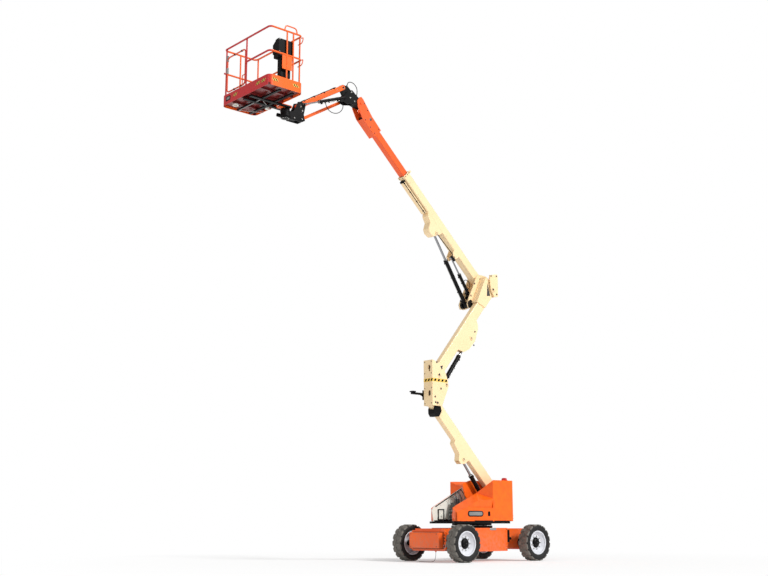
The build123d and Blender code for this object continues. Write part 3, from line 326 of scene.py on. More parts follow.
def add_turned(bm, place, profile, steps=32):
    """A closed shape turned on a lathe about a place's z axis, from (radius, height) points."""
    shape = bmesh.new()
    line = [shape.verts.new((r, 0, z)) for r, z in profile]
    edges = [shape.edges.new(pair) for pair in zip(line, line[1:])]
    bmesh.ops.spin(shape, geom=line + edges, cent=(0, 0, 0), axis=(0, 0, 1), angle=2 * pi, steps=steps,
                   use_merge=True, use_duplicate=False)
    bmesh.ops.remove_doubles(shape, verts=shape.verts, dist=1e-6)
    bmesh.ops.transform(shape, matrix=place, verts=shape.verts)
    bmesh.ops.recalc_face_normals(shape, faces=shape.faces)
    turned = bpy.data.meshes.new("turned")
    shape.to_mesh(turned)
    shape.free()
    bm.from_mesh(turned)
    bpy.data.meshes.remove(turned)


def add_plate(bm, place, outline, thick):
    """A flat plate from its outline in a place's x and y, as thick as this along z."""
    face = bm.faces.new([bm.verts.new((x, y, 0)) for x, y in outline])
    made = bmesh.ops.extrude_face_region(bm, geom=[face])["geom"]
    raised = [v for v in made if isinstance(v, bmesh.types.BMVert)]
    bmesh.ops.translate(bm, verts=raised, vec=(0, 0, thick))
    every = raised + list(face.verts)
    bmesh.ops.transform(bm, matrix=place, verts=every)
    bmesh.ops.recalc_face_normals(bm, faces=list({f for v in every for f in v.link_faces}))


def add_bolt(bm, at, way, size, place=Matrix()):
    """A bolt's washer and chamfered hexagon head, standing on a face; size is half the head's width."""
    at, way = place @ Vector(at), (place.to_3x3() @ Vector(way)).normalized()
    add_rod(bm, at, at + way * size * 0.25, size * 1.35, size * 1.3, 20)
    add_rod(bm, at + way * size * 0.25, at + way * size * 0.85, size * 1.12, sides=6)
    add_rod(bm, at + way * size * 0.85, at + way * size, size * 1.12, size * 0.92, 6)


def pipe(name, body, finish, points, radius):
    """A bent steel pipe or moulded strip through points, as one smooth tube."""
    curve = bpy.data.curves.new(name, "CURVE")
    curve.dimensions = "3D"
    curve.bevel_depth = radius
    curve.bevel_resolution = 3
    curve.resolution_u = 8
    curve.use_fill_caps = True
    spline = curve.splines.new("NURBS")
    spline.points.add(len(points) - 1)
    for point, at in zip(spline.points, points):
        point.co = (*at, 1)
    spline.order_u = 3
    spline.use_endpoint_u = True
    curve.materials.append(finish)
    piece = bpy.data.objects.new(name, curve)
    bpy.context.scene.collection.objects.link(piece)
    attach(piece, body)
    return piece


def ring_of(*profile):
    """A lathe profile that comes back to where it starts, for a ring that is open in the middle."""
    return (*profile, profile[0])


def rounded(half_w, half_h, radius, steps=6):
    """The outline of a plate with round corners."""
    points = []
    for cx, cy, start in ((1, 1, 0), (-1, 1, 90), (-1, -1, 180), (1, -1, 270)):
        for k in range(steps + 1):
            a = radians(start + 90 * k / steps)
            points.append((cx * (half_w - radius) + radius * cos(a), cy * (half_h - radius) + radius * sin(a)))
    return points


def leaning(x, z, width, height, lean):
    """The outline of a slanting mark from its lower left corner."""
    return [(x, z), (x + width, z), (x + width + lean, z + height), (x + lean, z + height)]


# ---------------------------------------------------------------- wheels
WHEEL_R = 0.354
LUGS = 16
# The carcass from the bead to the middle of the tread, as (radius, distance from the wheel's middle plane).
TYRE_PROFILE = ((0.2245, 0.095), (0.236, 0.104), (0.262, 0.1165), (0.286, 0.1195), (0.31, 0.119),
                (0.328, 0.113), (0.338, 0.1), (0.341, 0.08), (0.342, 0.0))
TREAD_FROM = 0.333


def tyre(corner, hub):
    """A tyre with a bulged black sidewall and two staggered rings of chevron lugs."""
    bm = bmesh.new()
    profile = list(TYRE_PROFILE) + [(r, -y) for r, y in reversed(TYRE_PROFILE[:-1])] + [(0.2245, 0.095)]
    add_turned(bm, Matrix(), profile, 64)
    for face in bm.faces:
        middle = face.calc_center_median()
        face.material_index = int(Vector((middle.x, middle.y)).length > TREAD_FROM)
    for side, step in ((-1, 0.0), (1, 0.5)):
        for k in range(LUGS):
            # A lug is a bar that slants from near the middle out over the shoulder, its tips on the wheel's radius.
            turn = 2 * pi / LUGS * (k + step) - pi / 2
            tips = [0.043 - 0.0215 * n for n in range(5)]
            outline = [(-0.048, 0.329), (0.048, 0.329)] + [(x, 0.35) for x in tips]
            base = bm.faces.new([bm.verts.new((x, 0, r)) for x, r in outline])
            made = bmesh.ops.extrude_face_region(bm, geom=[base])["geom"]
            outer = [v for v in made if isinstance(v, bmesh.types.BMVert)]
            verts = outer + list(base.verts)
            for v in verts:
                tip = v.co.z > 0.34
                v.co.x += -0.012 if v in outer else 0.016
                v.co.y = side * ((0.108 if tip else 0.118) if v in outer else 0.012)
                if tip:
                    v.co.z = (WHEEL_R ** 2 - v.co.x ** 2) ** 0.5
            lug_faces = {f for v in verts for f in v.link_faces}
            for face in lug_faces:
                face.material_index = 1
            axes = Matrix(((-sin(turn), 0, cos(turn), 0), (cos(turn), 0, sin(turn), 0), (0, 1, 0, 0),
                           (0, 0, 0, 1)))
            bmesh.ops.transform(bm, matrix=axes, verts=verts)
            bmesh.ops.recalc_face_normals(bm, faces=list(lug_faces))
    place = Matrix.Translation(hub) @ Matrix(((1, 0, 0, 0), (0, 0, 1, 0), (0, 1, 0, 0), (0, 0, 0, 1)))
    bmesh.ops.transform(bm, matrix=place, verts=bm.verts)
    bmesh.ops.recalc_face_normals(bm, faces=bm.faces)
    piece = keep(bm, "lugged_tyre_" + corner, "wheel_" + corner, SIDEWALL, TREAD, sharp=38)
    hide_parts("tyre_" + corner)


def hub_parts(corner, hub, out):
    """The black hub with its cover and bolts, and the ring of nuts on the rim's disc."""
    way = Vector((0, out, 0))
    face = facing(hub, way)
    bm = bmesh.new()
    add_turned(bm, face, ((0, 0.088), (0.03, 0.088), (0.046, 0.083), (0.05, 0.072), (0.072, 0.07), (0.078, 0.064),
                          (0.079, 0.05), (0.098, 0.0475), (0.104, 0.0405), (0, 0.0405)), 40)
    keep(bm, "hub_" + corner, "wheel_" + corner, BLACK, sharp=40)
    bm = bmesh.new()
    for k in range(9):
        a = 2 * pi * k / 9
        at = face @ Vector((0.124 * cos(a), 0.124 * sin(a), 0.0405))
        add_bolt(bm, at, way, 0.0125)
        add_rod(bm, at, at + way * 0.021, 0.006, 0.005, 12)
    keep(bm, "wheel_nuts_" + corner, "wheel_" + corner, STEEL, sharp=30)
    bm = bmesh.new()
    for k in range(6):
        a = 2 * pi * (k + 0.5) / 6
        add_bolt(bm, face @ Vector((0.062 * cos(a), 0.062 * sin(a), 0.0705)), way, 0.005)
    add_rod(bm, (0, 0, 0.087), (0, 0, 0.094), 0.012, 0.01, 6, face)
    keep(bm, "hub_bolts_" + corner, "wheel_" + corner, DARK_STEEL, sharp=30)


for corner in CORNERS:
    low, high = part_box("tyre_" + corner)
    out = 1 if corner.endswith("left") else -1
    hub = (Vector(low) + Vector(high)) / 2
    tyre(corner, hub)
    hub_parts(corner, hub, out)


# ---------------------------------------------------------------- chassis
FRAME_ENDS = ((1.196, 1), (-1.246, -1))  # each end plate's x and the way that it looks


def chassis_parts():
    """A black frame round the front cover as painted shadow in the gap behind it, the bolts, the sides' brackets,
    the axle stops and the tie-down rings.
    """
    bm = bmesh.new()
    # A black frame round the front cover: painted shadow in the gap behind it.
    add_block(bm, (1.1965, -0.424, 0.253), (1.206, 0.424, 0.567))
    keep(bm, "front_cover_shadow_frame", "chassis", RUBBER, edge=0.002)
    bm = bmesh.new()
    for y in (-0.385, 0.385):
        for z in (0.292, 0.528):
            add_bolt(bm, (1.3215, y * 0.93, z), (1, 0, 0), 0.007)
    for x, way in FRAME_ENDS:
        for y in (-0.452, 0.452):
            for z in (0.392, 0.45, 0.508):
                add_bolt(bm, (x, y, z), (way, 0, 0), 0.011)
    for side in (-1, 1):
        for x in (-0.42, 0.56):
            for z in (0.23, 0.61):
                add_bolt(bm, (x, side * 0.55, z), (0, side, 0), 0.008)
    keep(bm, "chassis_bolts", "chassis", DARK_STEEL, sharp=30)
    bm = bmesh.new()
    for side in (-1, 1):
        add_block(bm, (-0.12, side * 0.551 - 0.005, 0.597), (0.06, side * 0.551 + 0.005, 0.637))
        add_rod(bm, (-0.03, side * 0.548, 0.616), (-0.03, side * 0.562, 0.616), 0.014, 0.012, 20)
    keep(bm, "side_brackets", "chassis", STEEL, edge=0.003)
    bm = bmesh.new()
    for side in (-1, 1):
        for x in (-0.475, -0.56):
            add_block(bm, (x - 0.03, side * 0.386, 0.36), (x + 0.02, side * 0.47, 0.6))
        add_rod(bm, (-0.52, side * 0.40, 0.47), (-0.70, side * 0.40, 0.43), 0.03, 0.024, 20)
        add_rod(bm, (0.86, side * 0.39, 0.52), (0.86, side * 0.47, 0.52), 0.035, 0.03, 24)
    keep(bm, "axle_stops", "chassis", BLACK, edge=0.004)
    bm = bmesh.new()
    for x, way in FRAME_ENDS:
        for y in (-0.45, 0.45):
            ring = facing((x, y, 0.3), (way, 0, 0))
            add_turned(bm, ring,
                       ring_of((0.0265, 0), (0.0265, 0.006), (0.031, 0.008), (0.036, 0.006), (0.037, 0)), 36)
    keep(bm, "tie_down_rings", "chassis", STEEL, sharp=40)


# ---------------------------------------------------------------- turntable
PANEL_Y = 0.246  # the inner panels' faces, to each side of the middle
HOOD_REAR_X = -0.592
HOOD_SIDE_Y = 0.6
BADGE_Z = 0.912


def turntable_parts():
    """The slewing bolts and gearbox, the white panel's frame with a dark bar of painted shadow along its foot, its
    strips, and the pipes on the valve block.
    """
    bm = bmesh.new()
    for k in range(24):
        a = 2 * pi * k / 24
        add_bolt(bm, (0.352 * cos(a), 0.352 * sin(a), 0.725), (0, 0, -1), 0.011)
    keep(bm, "slewing_bolts", "turntable", DARK_STEEL, sharp=30)
    bm = bmesh.new()
    add_turned(bm, facing((0.61, 0.24, 0.725), (0, 0, -1)),
               ((0, 0), (0.075, 0), (0.075, 0.028), (0.06, 0.034), (0.06, 0.062), (0, 0.062)), 32)
    add_rod(bm, (0.61, 0.24, 0.765), (0.61, 0.24, 0.90), 0.055, 0.05, 28)
    add_rod(bm, (0.61, 0.24, 0.90), (0.61, 0.24, 0.925), 0.042, 0.036, 28)
    keep(bm, "slewing_gearbox", "turntable", BLACK, edge=0.003)
    bm = bmesh.new()
    face_y = -PANEL_Y
    for low, high in (((0.535, 0.79), (0.553, 1.005)), ((0.685, 0.79), (0.703, 1.005)),
                      ((0.535, 0.987), (0.703, 1.005)), ((0.535, 0.79), (0.703, 0.804))):
        add_block(bm, (low[0], face_y, low[1]), (high[0], face_y + 0.018, high[1]))
    # A dark bar along the white panel's foot: painted shadow in the gap below it.
    add_block(bm, (0.30, face_y, 0.766), (0.80, face_y + 0.02, 0.786))
    for x in (0.36, 0.45, 0.50):
        add_block(bm, (x, face_y, 0.78), (x + 0.03, face_y + 0.03, 0.81))
    keep(bm, "panel_frame_and_shadow_bar", "turntable", SATIN_BLACK, edge=0.003)
    bm = bmesh.new()
    add_block(bm, (0.558, face_y, 0.808), (0.68, face_y + 0.008, 0.983))
    add_block(bm, (0.598, face_y, 0.86), (0.622, face_y + 0.022, 0.91))
    keep(bm, "panel_door", "turntable", PALE, edge=0.003)
    bm = bmesh.new()
    edge = (Vector((0.02, face_y, 1.436)), Vector((0.811, face_y, 1.043)))
    way = (edge[1] - edge[0]).normalized()
    strip = facing(edge[0] + way * 0.38, way, (0, 0, 1))
    add_block(bm, (-0.012, -0.022, -0.36), (0.012, -0.004, 0.46), strip)
    keep(bm, "panel_strip", "turntable", RUBBER, edge=0.003)
    bm = bmesh.new()
    for x in (0.12, 0.30, 0.46, 0.62):
        z = 1.436 - (x - 0.02) * 0.497 - 0.06
        add_bolt(bm, (x, face_y, z), (0, 1, 0), 0.007)
    for x in (-0.55, -0.3, -0.05):
        for z in (0.84, 1.1, 1.38):
            add_bolt(bm, (x, PANEL_Y, z), (0, -1, 0), 0.007)
            add_bolt(bm, (x, face_y, z), (0, 1, 0), 0.007)
    keep(bm, "panel_bolts", "turntable", STEEL, sharp=30)
    runs = (
        ((0.25, -0.095, 1.19), (0.25, -0.095, 1.30), (0.21, -0.12, 1.38), (0.13, -0.13, 1.37),
         (0.05, -0.13, 1.26), (0.04, -0.13, 1.1), (0.04, -0.13, 0.98)),
        ((0.305, -0.095, 1.19), (0.305, -0.095, 1.27), (0.27, -0.15, 1.34), (0.18, -0.17, 1.33),
         (0.10, -0.17, 1.22), (0.09, -0.17, 1.06), (0.09, -0.17, 0.95)),
        ((0.36, -0.095, 1.19), (0.365, -0.095, 1.24), (0.36, -0.16, 1.28), (0.29, -0.20, 1.27),
         (0.2, -0.205, 1.2), (0.14, -0.205, 1.06), (0.14, -0.205, 0.92)),
    )
    for k, run in enumerate(runs):
        pipe("valve_pipe_%d" % (k + 1), "turntable", GREY_PLASTIC, run, 0.011)
    bm = bmesh.new()
    for x in (0.25, 0.305, 0.36):
        add_rod(bm, (x, -0.095, 1.168), (x, -0.095, 1.2), 0.017, 0.015, 6)
        add_rod(bm, (x, -0.001, 1.07), (x, 0.012, 1.07), 0.014, 0.012, 6)
    for k in range(3):
        for z in (0.82, 0.90, 0.97):
            add_bolt(bm, (0.43, -0.18 + 0.06 * k, z), (1, 0, 0), 0.012)
    keep(bm, "valve_fittings", "turntable", STEEL, sharp=30)
    bm = bmesh.new()
    add_block(bm, (0.02, -0.225, 0.765), (0.16, -0.11, 0.94))
    add_block(bm, (0.03, -0.215, 0.94), (0.15, -0.12, 0.99))
    keep(bm, "hose_manifold", "turntable", BLACK, edge=0.004)


def hood_trim(side, body):
    """A hood's seal, blank badge, latch, louvres, screws and the dome on its roof."""
    bm = bmesh.new()
    for x in (-0.52, 0.02):
        add_block(bm, (x, side * 0.588, 0.768), (x + 0.50, side * 0.6015, 0.782))
    keep(bm, "seal_" + side_name(side), body, RUBBER, edge=0.002)
    nose = Vector((0.9, 0.47)) if side > 0 else Vector((0.65, 0.49))
    along = Vector((nose.x, side * (nose.y - HOOD_SIDE_Y), 0)).normalized()
    square = Vector((-along.y, along.x, 0)) * side
    start = Vector((0, side * HOOD_SIDE_Y, 0))

    def on_face(s, z):
        return facing(start + along * s + square * 0.0005 + Vector((0, 0, z)), square)

    bm = bmesh.new()
    reach = 0.44 if side > 0 else 0.30
    add_plate(bm, on_face(reach, BADGE_Z), rounded(0.19 if side > 0 else 0.14, 0.055, 0.05, 8), 0.008)
    keep(bm, "badge_" + side_name(side), body, SATIN_BLACK, edge=0.003)
    bm = bmesh.new()
    add_plate(bm, on_face(reach, BADGE_Z), rounded(0.165 if side > 0 else 0.115, 0.035, 0.032, 8), 0.0095)
    keep(bm, "badge_face_" + side_name(side), body, GREY_PLASTIC, edge=0.001)
    bm = bmesh.new()
    add_plate(bm, on_face(0.11, BADGE_Z), rounded(0.026, 0.045, 0.02, 6), 0.01)
    add_plate(bm, on_face(0.11, BADGE_Z), rounded(0.012, 0.03, 0.01, 6), 0.018)
    keep(bm, "latch_" + side_name(side), body, SATIN_BLACK, edge=0.002)
    bm = bmesh.new()
    for k in range(9):
        tilt = facing((HOOD_REAR_X, side * 0.43, 0.98 + 0.038 * k), (-1, 0, 0.45))
        add_block(bm, (-0.115, -0.014, -0.002), (0.115, 0.014, 0.004), tilt)
    keep(bm, "louvres_" + side_name(side), body, HOOD_ORANGE, edge=0.0015)
    bm = bmesh.new()
    for y in (0.32, 0.54):
        for z in (0.945, 1.315):
            add_bolt(bm, (HOOD_REAR_X, side * y, z), (-1, 0, 0), 0.007)
    for z in (0.83, 0.875):
        add_rod(bm, (HOOD_REAR_X, side * 0.565, z), (HOOD_REAR_X - 0.008, side * 0.565, z), 0.012, 0.01, 16)
    keep(bm, "hood_screws_" + side_name(side), body, DARK_STEEL, sharp=30)
    bm = bmesh.new()
    add_turned(bm, facing((-0.50, side * 0.44, 1.562), (0, 0, 1)),
               ((0, 0), (0.068, 0), (0.068, 0.012), (0.055, 0.018), (0.052, 0.045), (0.04, 0.058), (0, 0.062)),
               32)
    keep(bm, "roof_dome_" + side_name(side), body, RED_PLASTIC if side > 0 else HOOD_ORANGE, sharp=50)


def side_name(side):
    return "left" if side > 0 else "right"


# ---------------------------------------------------------------- pins and cylinders
# One row for each pin: body, place (x, z), radius and the y of its two ends.
PIN_ENDS = (
    ("turntable", (-0.45, 1.42), 0.030, (-0.010, 0.230)),
    ("turntable", (-0.36, 1.05), 0.022, (-0.010, 0.230)),
    ("lower_upright", (1.141, 3.039), 0.030, (-0.025, 0.245)),
    ("lower_upright", (1.09, 3.60), 0.030, (-0.025, 0.245)),
    ("lower_upright", (0.89, 3.42), 0.022, (-0.025, 0.245)),
    ("upper_upright", (-0.5, 5.53), 0.030, (-0.025, 0.245)),
    ("upper_upright", (-0.34, 5.76), 0.030, (-0.255, 0.025)),
    ("upper_upright", (-0.03, 5.185), 0.022, (-0.245, 0.015)),
    ("upper_upright", (-0.17, 5.37), 0.022, (-0.245, 0.015)),
    ("lower_boom", (0.38, 1.98), 0.020, (0.031, 0.189)),
    ("mid_boom", (0.11, 4.44), 0.020, (0.031, 0.189)),
    ("main_boom", (0.868, 6.571), 0.020, (-0.214, -0.016)),
    ("main_boom", (0.37, 6.14), 0.016, (-0.214, -0.016)),
    ("jib_knuckle", (3.33, 9.11), 0.018, (-0.177, -0.053)),
    ("basket_support", (4.38727, 8.46210), 0.018, (-0.193, -0.037)),
)


def pin_ends():
    """A dark cap, a grease nipple and a bolted keeper on each end of every boom pin."""
    caps, keepers, bolts = {}, {}, {}
    for body, (x, z), radius, ends in PIN_ENDS:
        for holder in (caps, keepers, bolts):
            holder.setdefault(body, bmesh.new())
        for y, way in ((ends[0], -1), (ends[1], 1)):
            face = facing((x, y, z), (0, way, 0))
            add_turned(caps[body], face,
                       ((0, 0.0035), (0.004, 0.0035), (0.005, 0.008), (0.009, 0.008), (0.01, 0.0015),
                        (radius * 0.8, 0.0015), (radius * 0.8, 0), (0, 0)), 28)
            keeper = facing((x, y - way * 0.0085, z), (0, way, 0), (0.6, 0, 1))
            outline = rounded(radius * 1.1, radius * 0.36, 0.004, 3)
            add_plate(keepers[body], keeper, [(across, up - radius * 1.55) for across, up in outline], 0.005)
            for across in (-0.7, 0.7):
                at = keeper @ Vector((across * radius, -radius * 1.6, 0.005))
                add_bolt(bolts[body], at, (0, way, 0), 0.006)
    for body in caps:
        keep(caps[body], "pin_caps_" + body, body, DARK_STEEL, sharp=40)
        keep(keepers[body], "pin_keepers_" + body, body, CREAM, edge=0.001)
        keep(bolts[body], "keeper_bolts_" + body, body, STEEL, sharp=30)


# One row for each cylinder: name, barrel radius and length, and the side of the barrel that carries its pipe.
CYLINDERS = (
    ("lower_lift", 0.042, 0.79, 1),
    ("mid_lift", 0.042, 0.79, 1),
    ("main_lift", 0.042, 1.05, -1),
    ("level", 0.034, 0.56, -1),
    ("jib_lift", 0.030, 0.70, -1),
)


def cylinder_fittings():
    """On each cylinder a valve at the foot, the steel pipe along the barrel, its clamps and the gland's ring."""
    for name, radius, length, above in CYLINDERS:
        body = name + "_barrel"
        way = SLIDE[name + "_rod"]
        axes = boom_axes(PIN[body], way)
        h = radius + 0.012
        bm = bmesh.new()
        add_block(bm, (0.075, -0.024, above * radius * 0.8), (0.15, 0.024, above * (radius + 0.035)), axes)
        add_block(bm, (length - 0.075, -0.014, above * radius), (length - 0.045, 0.014, above * (radius + 0.024)),
                  axes)
        keep(bm, name + "_ports", body, BLACK, edge=0.003)
        bm = bmesh.new()
        add_rod(bm, (0.145, 0, above * h), (length - 0.07, 0, above * h), 0.0055, sides=14, place=axes)
        for s in (0.15, length - 0.085):
            add_rod(bm, (s, 0, above * h), (s + 0.018, 0, above * h), 0.009, sides=6, place=axes)
        add_turned(bm, facing(axes @ Vector((length - 0.0005, 0, 0)), way),
                   ring_of((radius * 0.72, 0), (radius * 0.72, 0.006), (radius * 0.98, 0.006),
                           (radius * 1.02, 0)), 36)
        keep(bm, name + "_pipe", body, STEEL, sharp=40)
        bm = bmesh.new()
        for s in (0.3 * length, 0.62 * length):
            add_turned(bm, facing(axes @ Vector((s, 0, 0)), way),
                       ring_of((radius - 0.001, 0), (radius + 0.0025, 0), (radius + 0.0025, 0.02),
                               (radius - 0.001, 0.02)), 36)
            add_block(bm, (s, -0.01, above * radius), (s + 0.02, 0.01, above * (h + 0.008)), axes)
        keep(bm, name + "_clamps", body, SATIN_BLACK, sharp=40)


chassis_parts()
turntable_parts()
for side in (-1, 1):
    hood_trim(side, "hood_" + side_name(side))
pin_ends()
cylinder_fittings()


# ---------------------------------------------------------------- tower
# The y of an upright's two side faces, with the way that each looks.
LOWER_FACES = ((0.235, 1), (-0.015, -1))
UPPER_FACES = ((0.025, 1), (-0.235, -1))
BAND = (3.455, 3.522)


def side_plate(bm, y, way, outline, thick):
    """A plate on an upright face at this y, standing out its own thickness; the outline is in x and z."""
    place = Matrix.Translation((0, y, 0)) @ Matrix(((1, 0, 0, 0), (0, 0, way, 0), (0, 1, 0, 0), (0, 0, 0, 1)))
    add_plate(bm, place, outline, thick)


def tower_marks():
    """The hazard band, the lower upright's dark windows, the uprights' and the mid boom's screws with a dark
    triangle of painted shadow on the mid boom's head, and the cylinders' feet.
    """
    low, high = BAND
    yellow, dark = bmesh.new(), bmesh.new()
    add_block(yellow, (1.2695, -0.0155, low), (1.2715, 0.2355, high))
    for k in range(3):
        y = 0.015 + 0.085 * k
        mark = leaning(y, low + 0.012, 0.045, high - low - 0.022, 0.02)
        add_plate(dark, facing((1.2712, 0, 0), (1, 0, 0)), mark, 0.0012)
    for y, way in LOWER_FACES:
        side_plate(yellow, y, way, ((0.862, low), (1.2712, low), (1.2712, high), (0.866, high)), 0.0015)
        for k in range(4):
            x = 0.885 + 0.098 * k
            side_plate(dark, y + way * 0.001, way, leaning(x, low + 0.012, 0.05, high - low - 0.022, -0.02),
                       0.0014)
    keep(yellow, "hazard_band", "lower_upright", YELLOW)
    keep(dark, "hazard_marks", "lower_upright", SATIN_BLACK)
    bm = bmesh.new()
    for y, way in LOWER_FACES:
        side_plate(bm, y, way, ((0.985, 3.792), (1.055, 3.772), (1.02, 3.705), (1.0, 3.72)), 0.002)
        for x, z in ((1.15, 3.841), (1.041, 3.326), (1.19, 3.05), (1.2, 3.16)):
            add_bolt(bm, (x, y, z), (0, way, 0), 0.014)
    for z in (3.03, 3.33, 3.62, 3.85):
        for y in (0.015, 0.205):
            add_bolt(bm, (1.27, y, z), (1, 0, 0), 0.008)
    for y, z, half_h in ((0.145, 3.231, 0.055), (0.14, 3.745, 0.042)):
        add_block(bm, (1.228, y - 0.05, z - half_h - 0.02), (1.234, y + 0.05, z + half_h + 0.02))
    keep(bm, "upright_screws", "lower_upright", DARK_STEEL, sharp=30)
    bm = bmesh.new()
    for x, z in ((0.0, 4.584), (0.04, 4.30), (-0.2, 5.25)):
        for y, way in ((0.175, 1), (0.045, -1)):
            add_bolt(bm, (x, y, z), (0, way, 0), 0.013)
    # A dark triangle on the mid boom's head: painted shadow in the gap behind the upper upright's near plate.
    side_plate(bm, 0.190, 1, ((-0.385, 5.66), (-0.36, 5.38), (-0.46, 5.395)), 0.002)
    keep(bm, "mid_boom_screws_and_shadow_plate", "mid_boom", DARK_STEEL, sharp=30)
    bm = bmesh.new()
    for x, z in ((-0.45, 5.815), (-0.61, 5.83), (-0.61, 5.44)):
        add_bolt(bm, (x, 0.235, z), (0, 1, 0), 0.013)
    for y, way in UPPER_FACES:
        for x, z in ((-0.168, 5.645), (-0.055, 5.372), (-0.43, 5.80), (-0.60, 5.46), (-0.60, 5.64)):
            if way < 0:
                add_bolt(bm, (x, y, z), (0, way, 0), 0.013)
            elif x > -0.3:
                add_rod(bm, (x, y, z), (x, y + 0.003, z), 0.018, sides=24)
    keep(bm, "upper_upright_screws", "upper_upright", DARK_STEEL, sharp=30)
    bm = bmesh.new()
    for y, way in UPPER_FACES:
        side_plate(bm, y, way, ((-0.10, 5.108), (0.022, 5.108), (0.053, 5.19), (0.03, 5.25), (-0.05, 5.29),
                                (-0.13, 5.24), (-0.15, 5.13)), 0.004)
    for ends in ((-0.208, -0.156), (-0.074, -0.002)):
        add_rod(bm, (-0.03, ends[0], 5.185), (-0.03, ends[1], 5.185), 0.07, sides=32)
        add_rod(bm, (-0.17, ends[0], 5.37), (-0.17, ends[1], 5.37), 0.048, sides=32)
    keep(bm, "cylinder_feet", "upper_upright", BLACK, edge=0.003)


def weld_beads():
    """The weld beads down the sides of the lower and mid booms' ends, laid as low ridges."""
    for name, body, axes, stations, half_w, half_d in (
            ("lower_boom_weld", "lower_boom", LOWER, (1.40, 2.13), 0.065, 0.1125),
            ("mid_boom_weld", "mid_boom", MID, (0.17, 2.03), 0.065, 0.1125)):
        bm = bmesh.new()
        for s in stations:
            for y, z in ((half_w, half_d - 0.016), (-half_w, 0.016 - half_d)):
                add_rod(bm, (s, y, z), (s, y, -z), 0.005, sides=8, place=axes)
        keep(bm, name, body, CREAM, sharp=60)


# ---------------------------------------------------------------- main boom, fly and jib
COLLAR_AT = 2.773  # how far along the main boom its collar's screws and the face of its mouth lie
MOUTH_AT = 2.785


def main_boom_parts():
    """The collar's screws, wear pads and ears, the tray's joint line and end, and the rods beside it."""
    bm = bmesh.new()
    for side in (-1, 1):
        for h in (-0.06, 0.0, 0.06):
            add_bolt(bm, (COLLAR_AT, side * 0.10, h), (0, side, 0), 0.009, MAIN)
        for h in (-1, 1):
            add_bolt(bm, (COLLAR_AT, side * 0.045, h * 0.1075), (0, 0, h), 0.009, MAIN)
    keep(bm, "collar_screws", "main_boom", DARK_STEEL, sharp=30)
    bm = bmesh.new()
    for side in (-1, 1):
        add_block(bm, (MOUTH_AT, side * 0.069, -0.05), (MOUTH_AT + 0.015, side * 0.084, 0.05), MAIN)
        add_block(bm, (MOUTH_AT, -0.045, side * 0.077), (MOUTH_AT + 0.015, 0.045, side * 0.0915), MAIN)
    keep(bm, "wear_pads", "main_boom", SATIN_BLACK, edge=0.0015)
    bm = bmesh.new()
    for side in (-1, 1):
        add_block(bm, (2.752, side * 0.096, 0.085), (2.794, side * 0.112, 0.128), MAIN)
    keep(bm, "collar_ears", "main_boom", CREAM, edge=0.004)
    bm = bmesh.new()
    add_block(bm, (1.90, -0.046, -0.1), (2.695, 0.046, -0.0925), MAIN)
    add_block(bm, (2.688, -0.047, -0.163), (2.725, 0.047, -0.094), MAIN)
    add_rod(bm, (1.90, 0.052, -0.155), (2.72, 0.052, -0.155), 0.008, sides=14, place=MAIN)
    for s in (1.96, 2.2, 2.44, 2.66):
        add_block(bm, (s, 0.04, -0.168), (s + 0.022, 0.064, -0.142), MAIN)
    add_block(bm, (0.715, 0.066, -0.272), (0.845, 0.102, -0.225), MAIN)
    add_rod(bm, (0.83, 0.092, -0.20), (1.40, 0.092, -0.235), 0.008, sides=14, place=MAIN)
    keep(bm, "tray_joint_and_rod", "main_boom", SATIN_BLACK, edge=0.0015)
    bm = bmesh.new()
    for s in (1.0, 1.22, 2.0, 2.3, 2.6):
        for side in (-1, 1):
            add_bolt(bm, (s, side * 0.085, -0.05), (0, side, 0), 0.006, MAIN)
    for s in (1.93, 2.15, 2.37, 2.59):
        for side in (-1, 1):
            add_bolt(bm, (s, side * 0.045, -0.118), (0, side, 0), 0.006, MAIN)
    keep(bm, "tray_screws", "main_boom", STEEL, sharp=30)


def fly_boom_parts():
    """The head's cover and screws, and the hoses' steel ends in its open mouth."""
    bm = bmesh.new()
    for side in (-1, 1):
        face = facing(MAIN @ Vector((4.13, side * 0.095, 0.03)), (0, side, 0))
        add_turned(bm, face, ((0, 0), (0.03, 0), (0.03, 0.002), (0.02, 0.004), (0, 0.004)), 28)
        for s, h in ((3.87, -0.09), (3.87, 0.06), (4.02, -0.09), (4.2, -0.09), (4.3, 0.10), (4.45, 0.13)):
            add_bolt(bm, (s, side * 0.095, h), (0, side, 0), 0.010, MAIN)
    keep(bm, "head_screws", "fly_boom", DARK_STEEL, sharp=30)
    bm = bmesh.new()
    for y in (-0.06, -0.02, 0.02, 0.06):
        add_rod(bm, (3.86, y, -0.03), (4.24, y, -0.06), 0.012, sides=16, place=MAIN)
        add_rod(bm, (4.235, y, -0.06), (4.27, y, -0.062), 0.016, sides=6, place=MAIN)
    add_block(bm, (3.99, -0.085, -0.10), (4.03, 0.085, -0.0), MAIN)
    keep(bm, "head_pipes", "fly_boom", SATIN_BLACK, edge=0.0015)


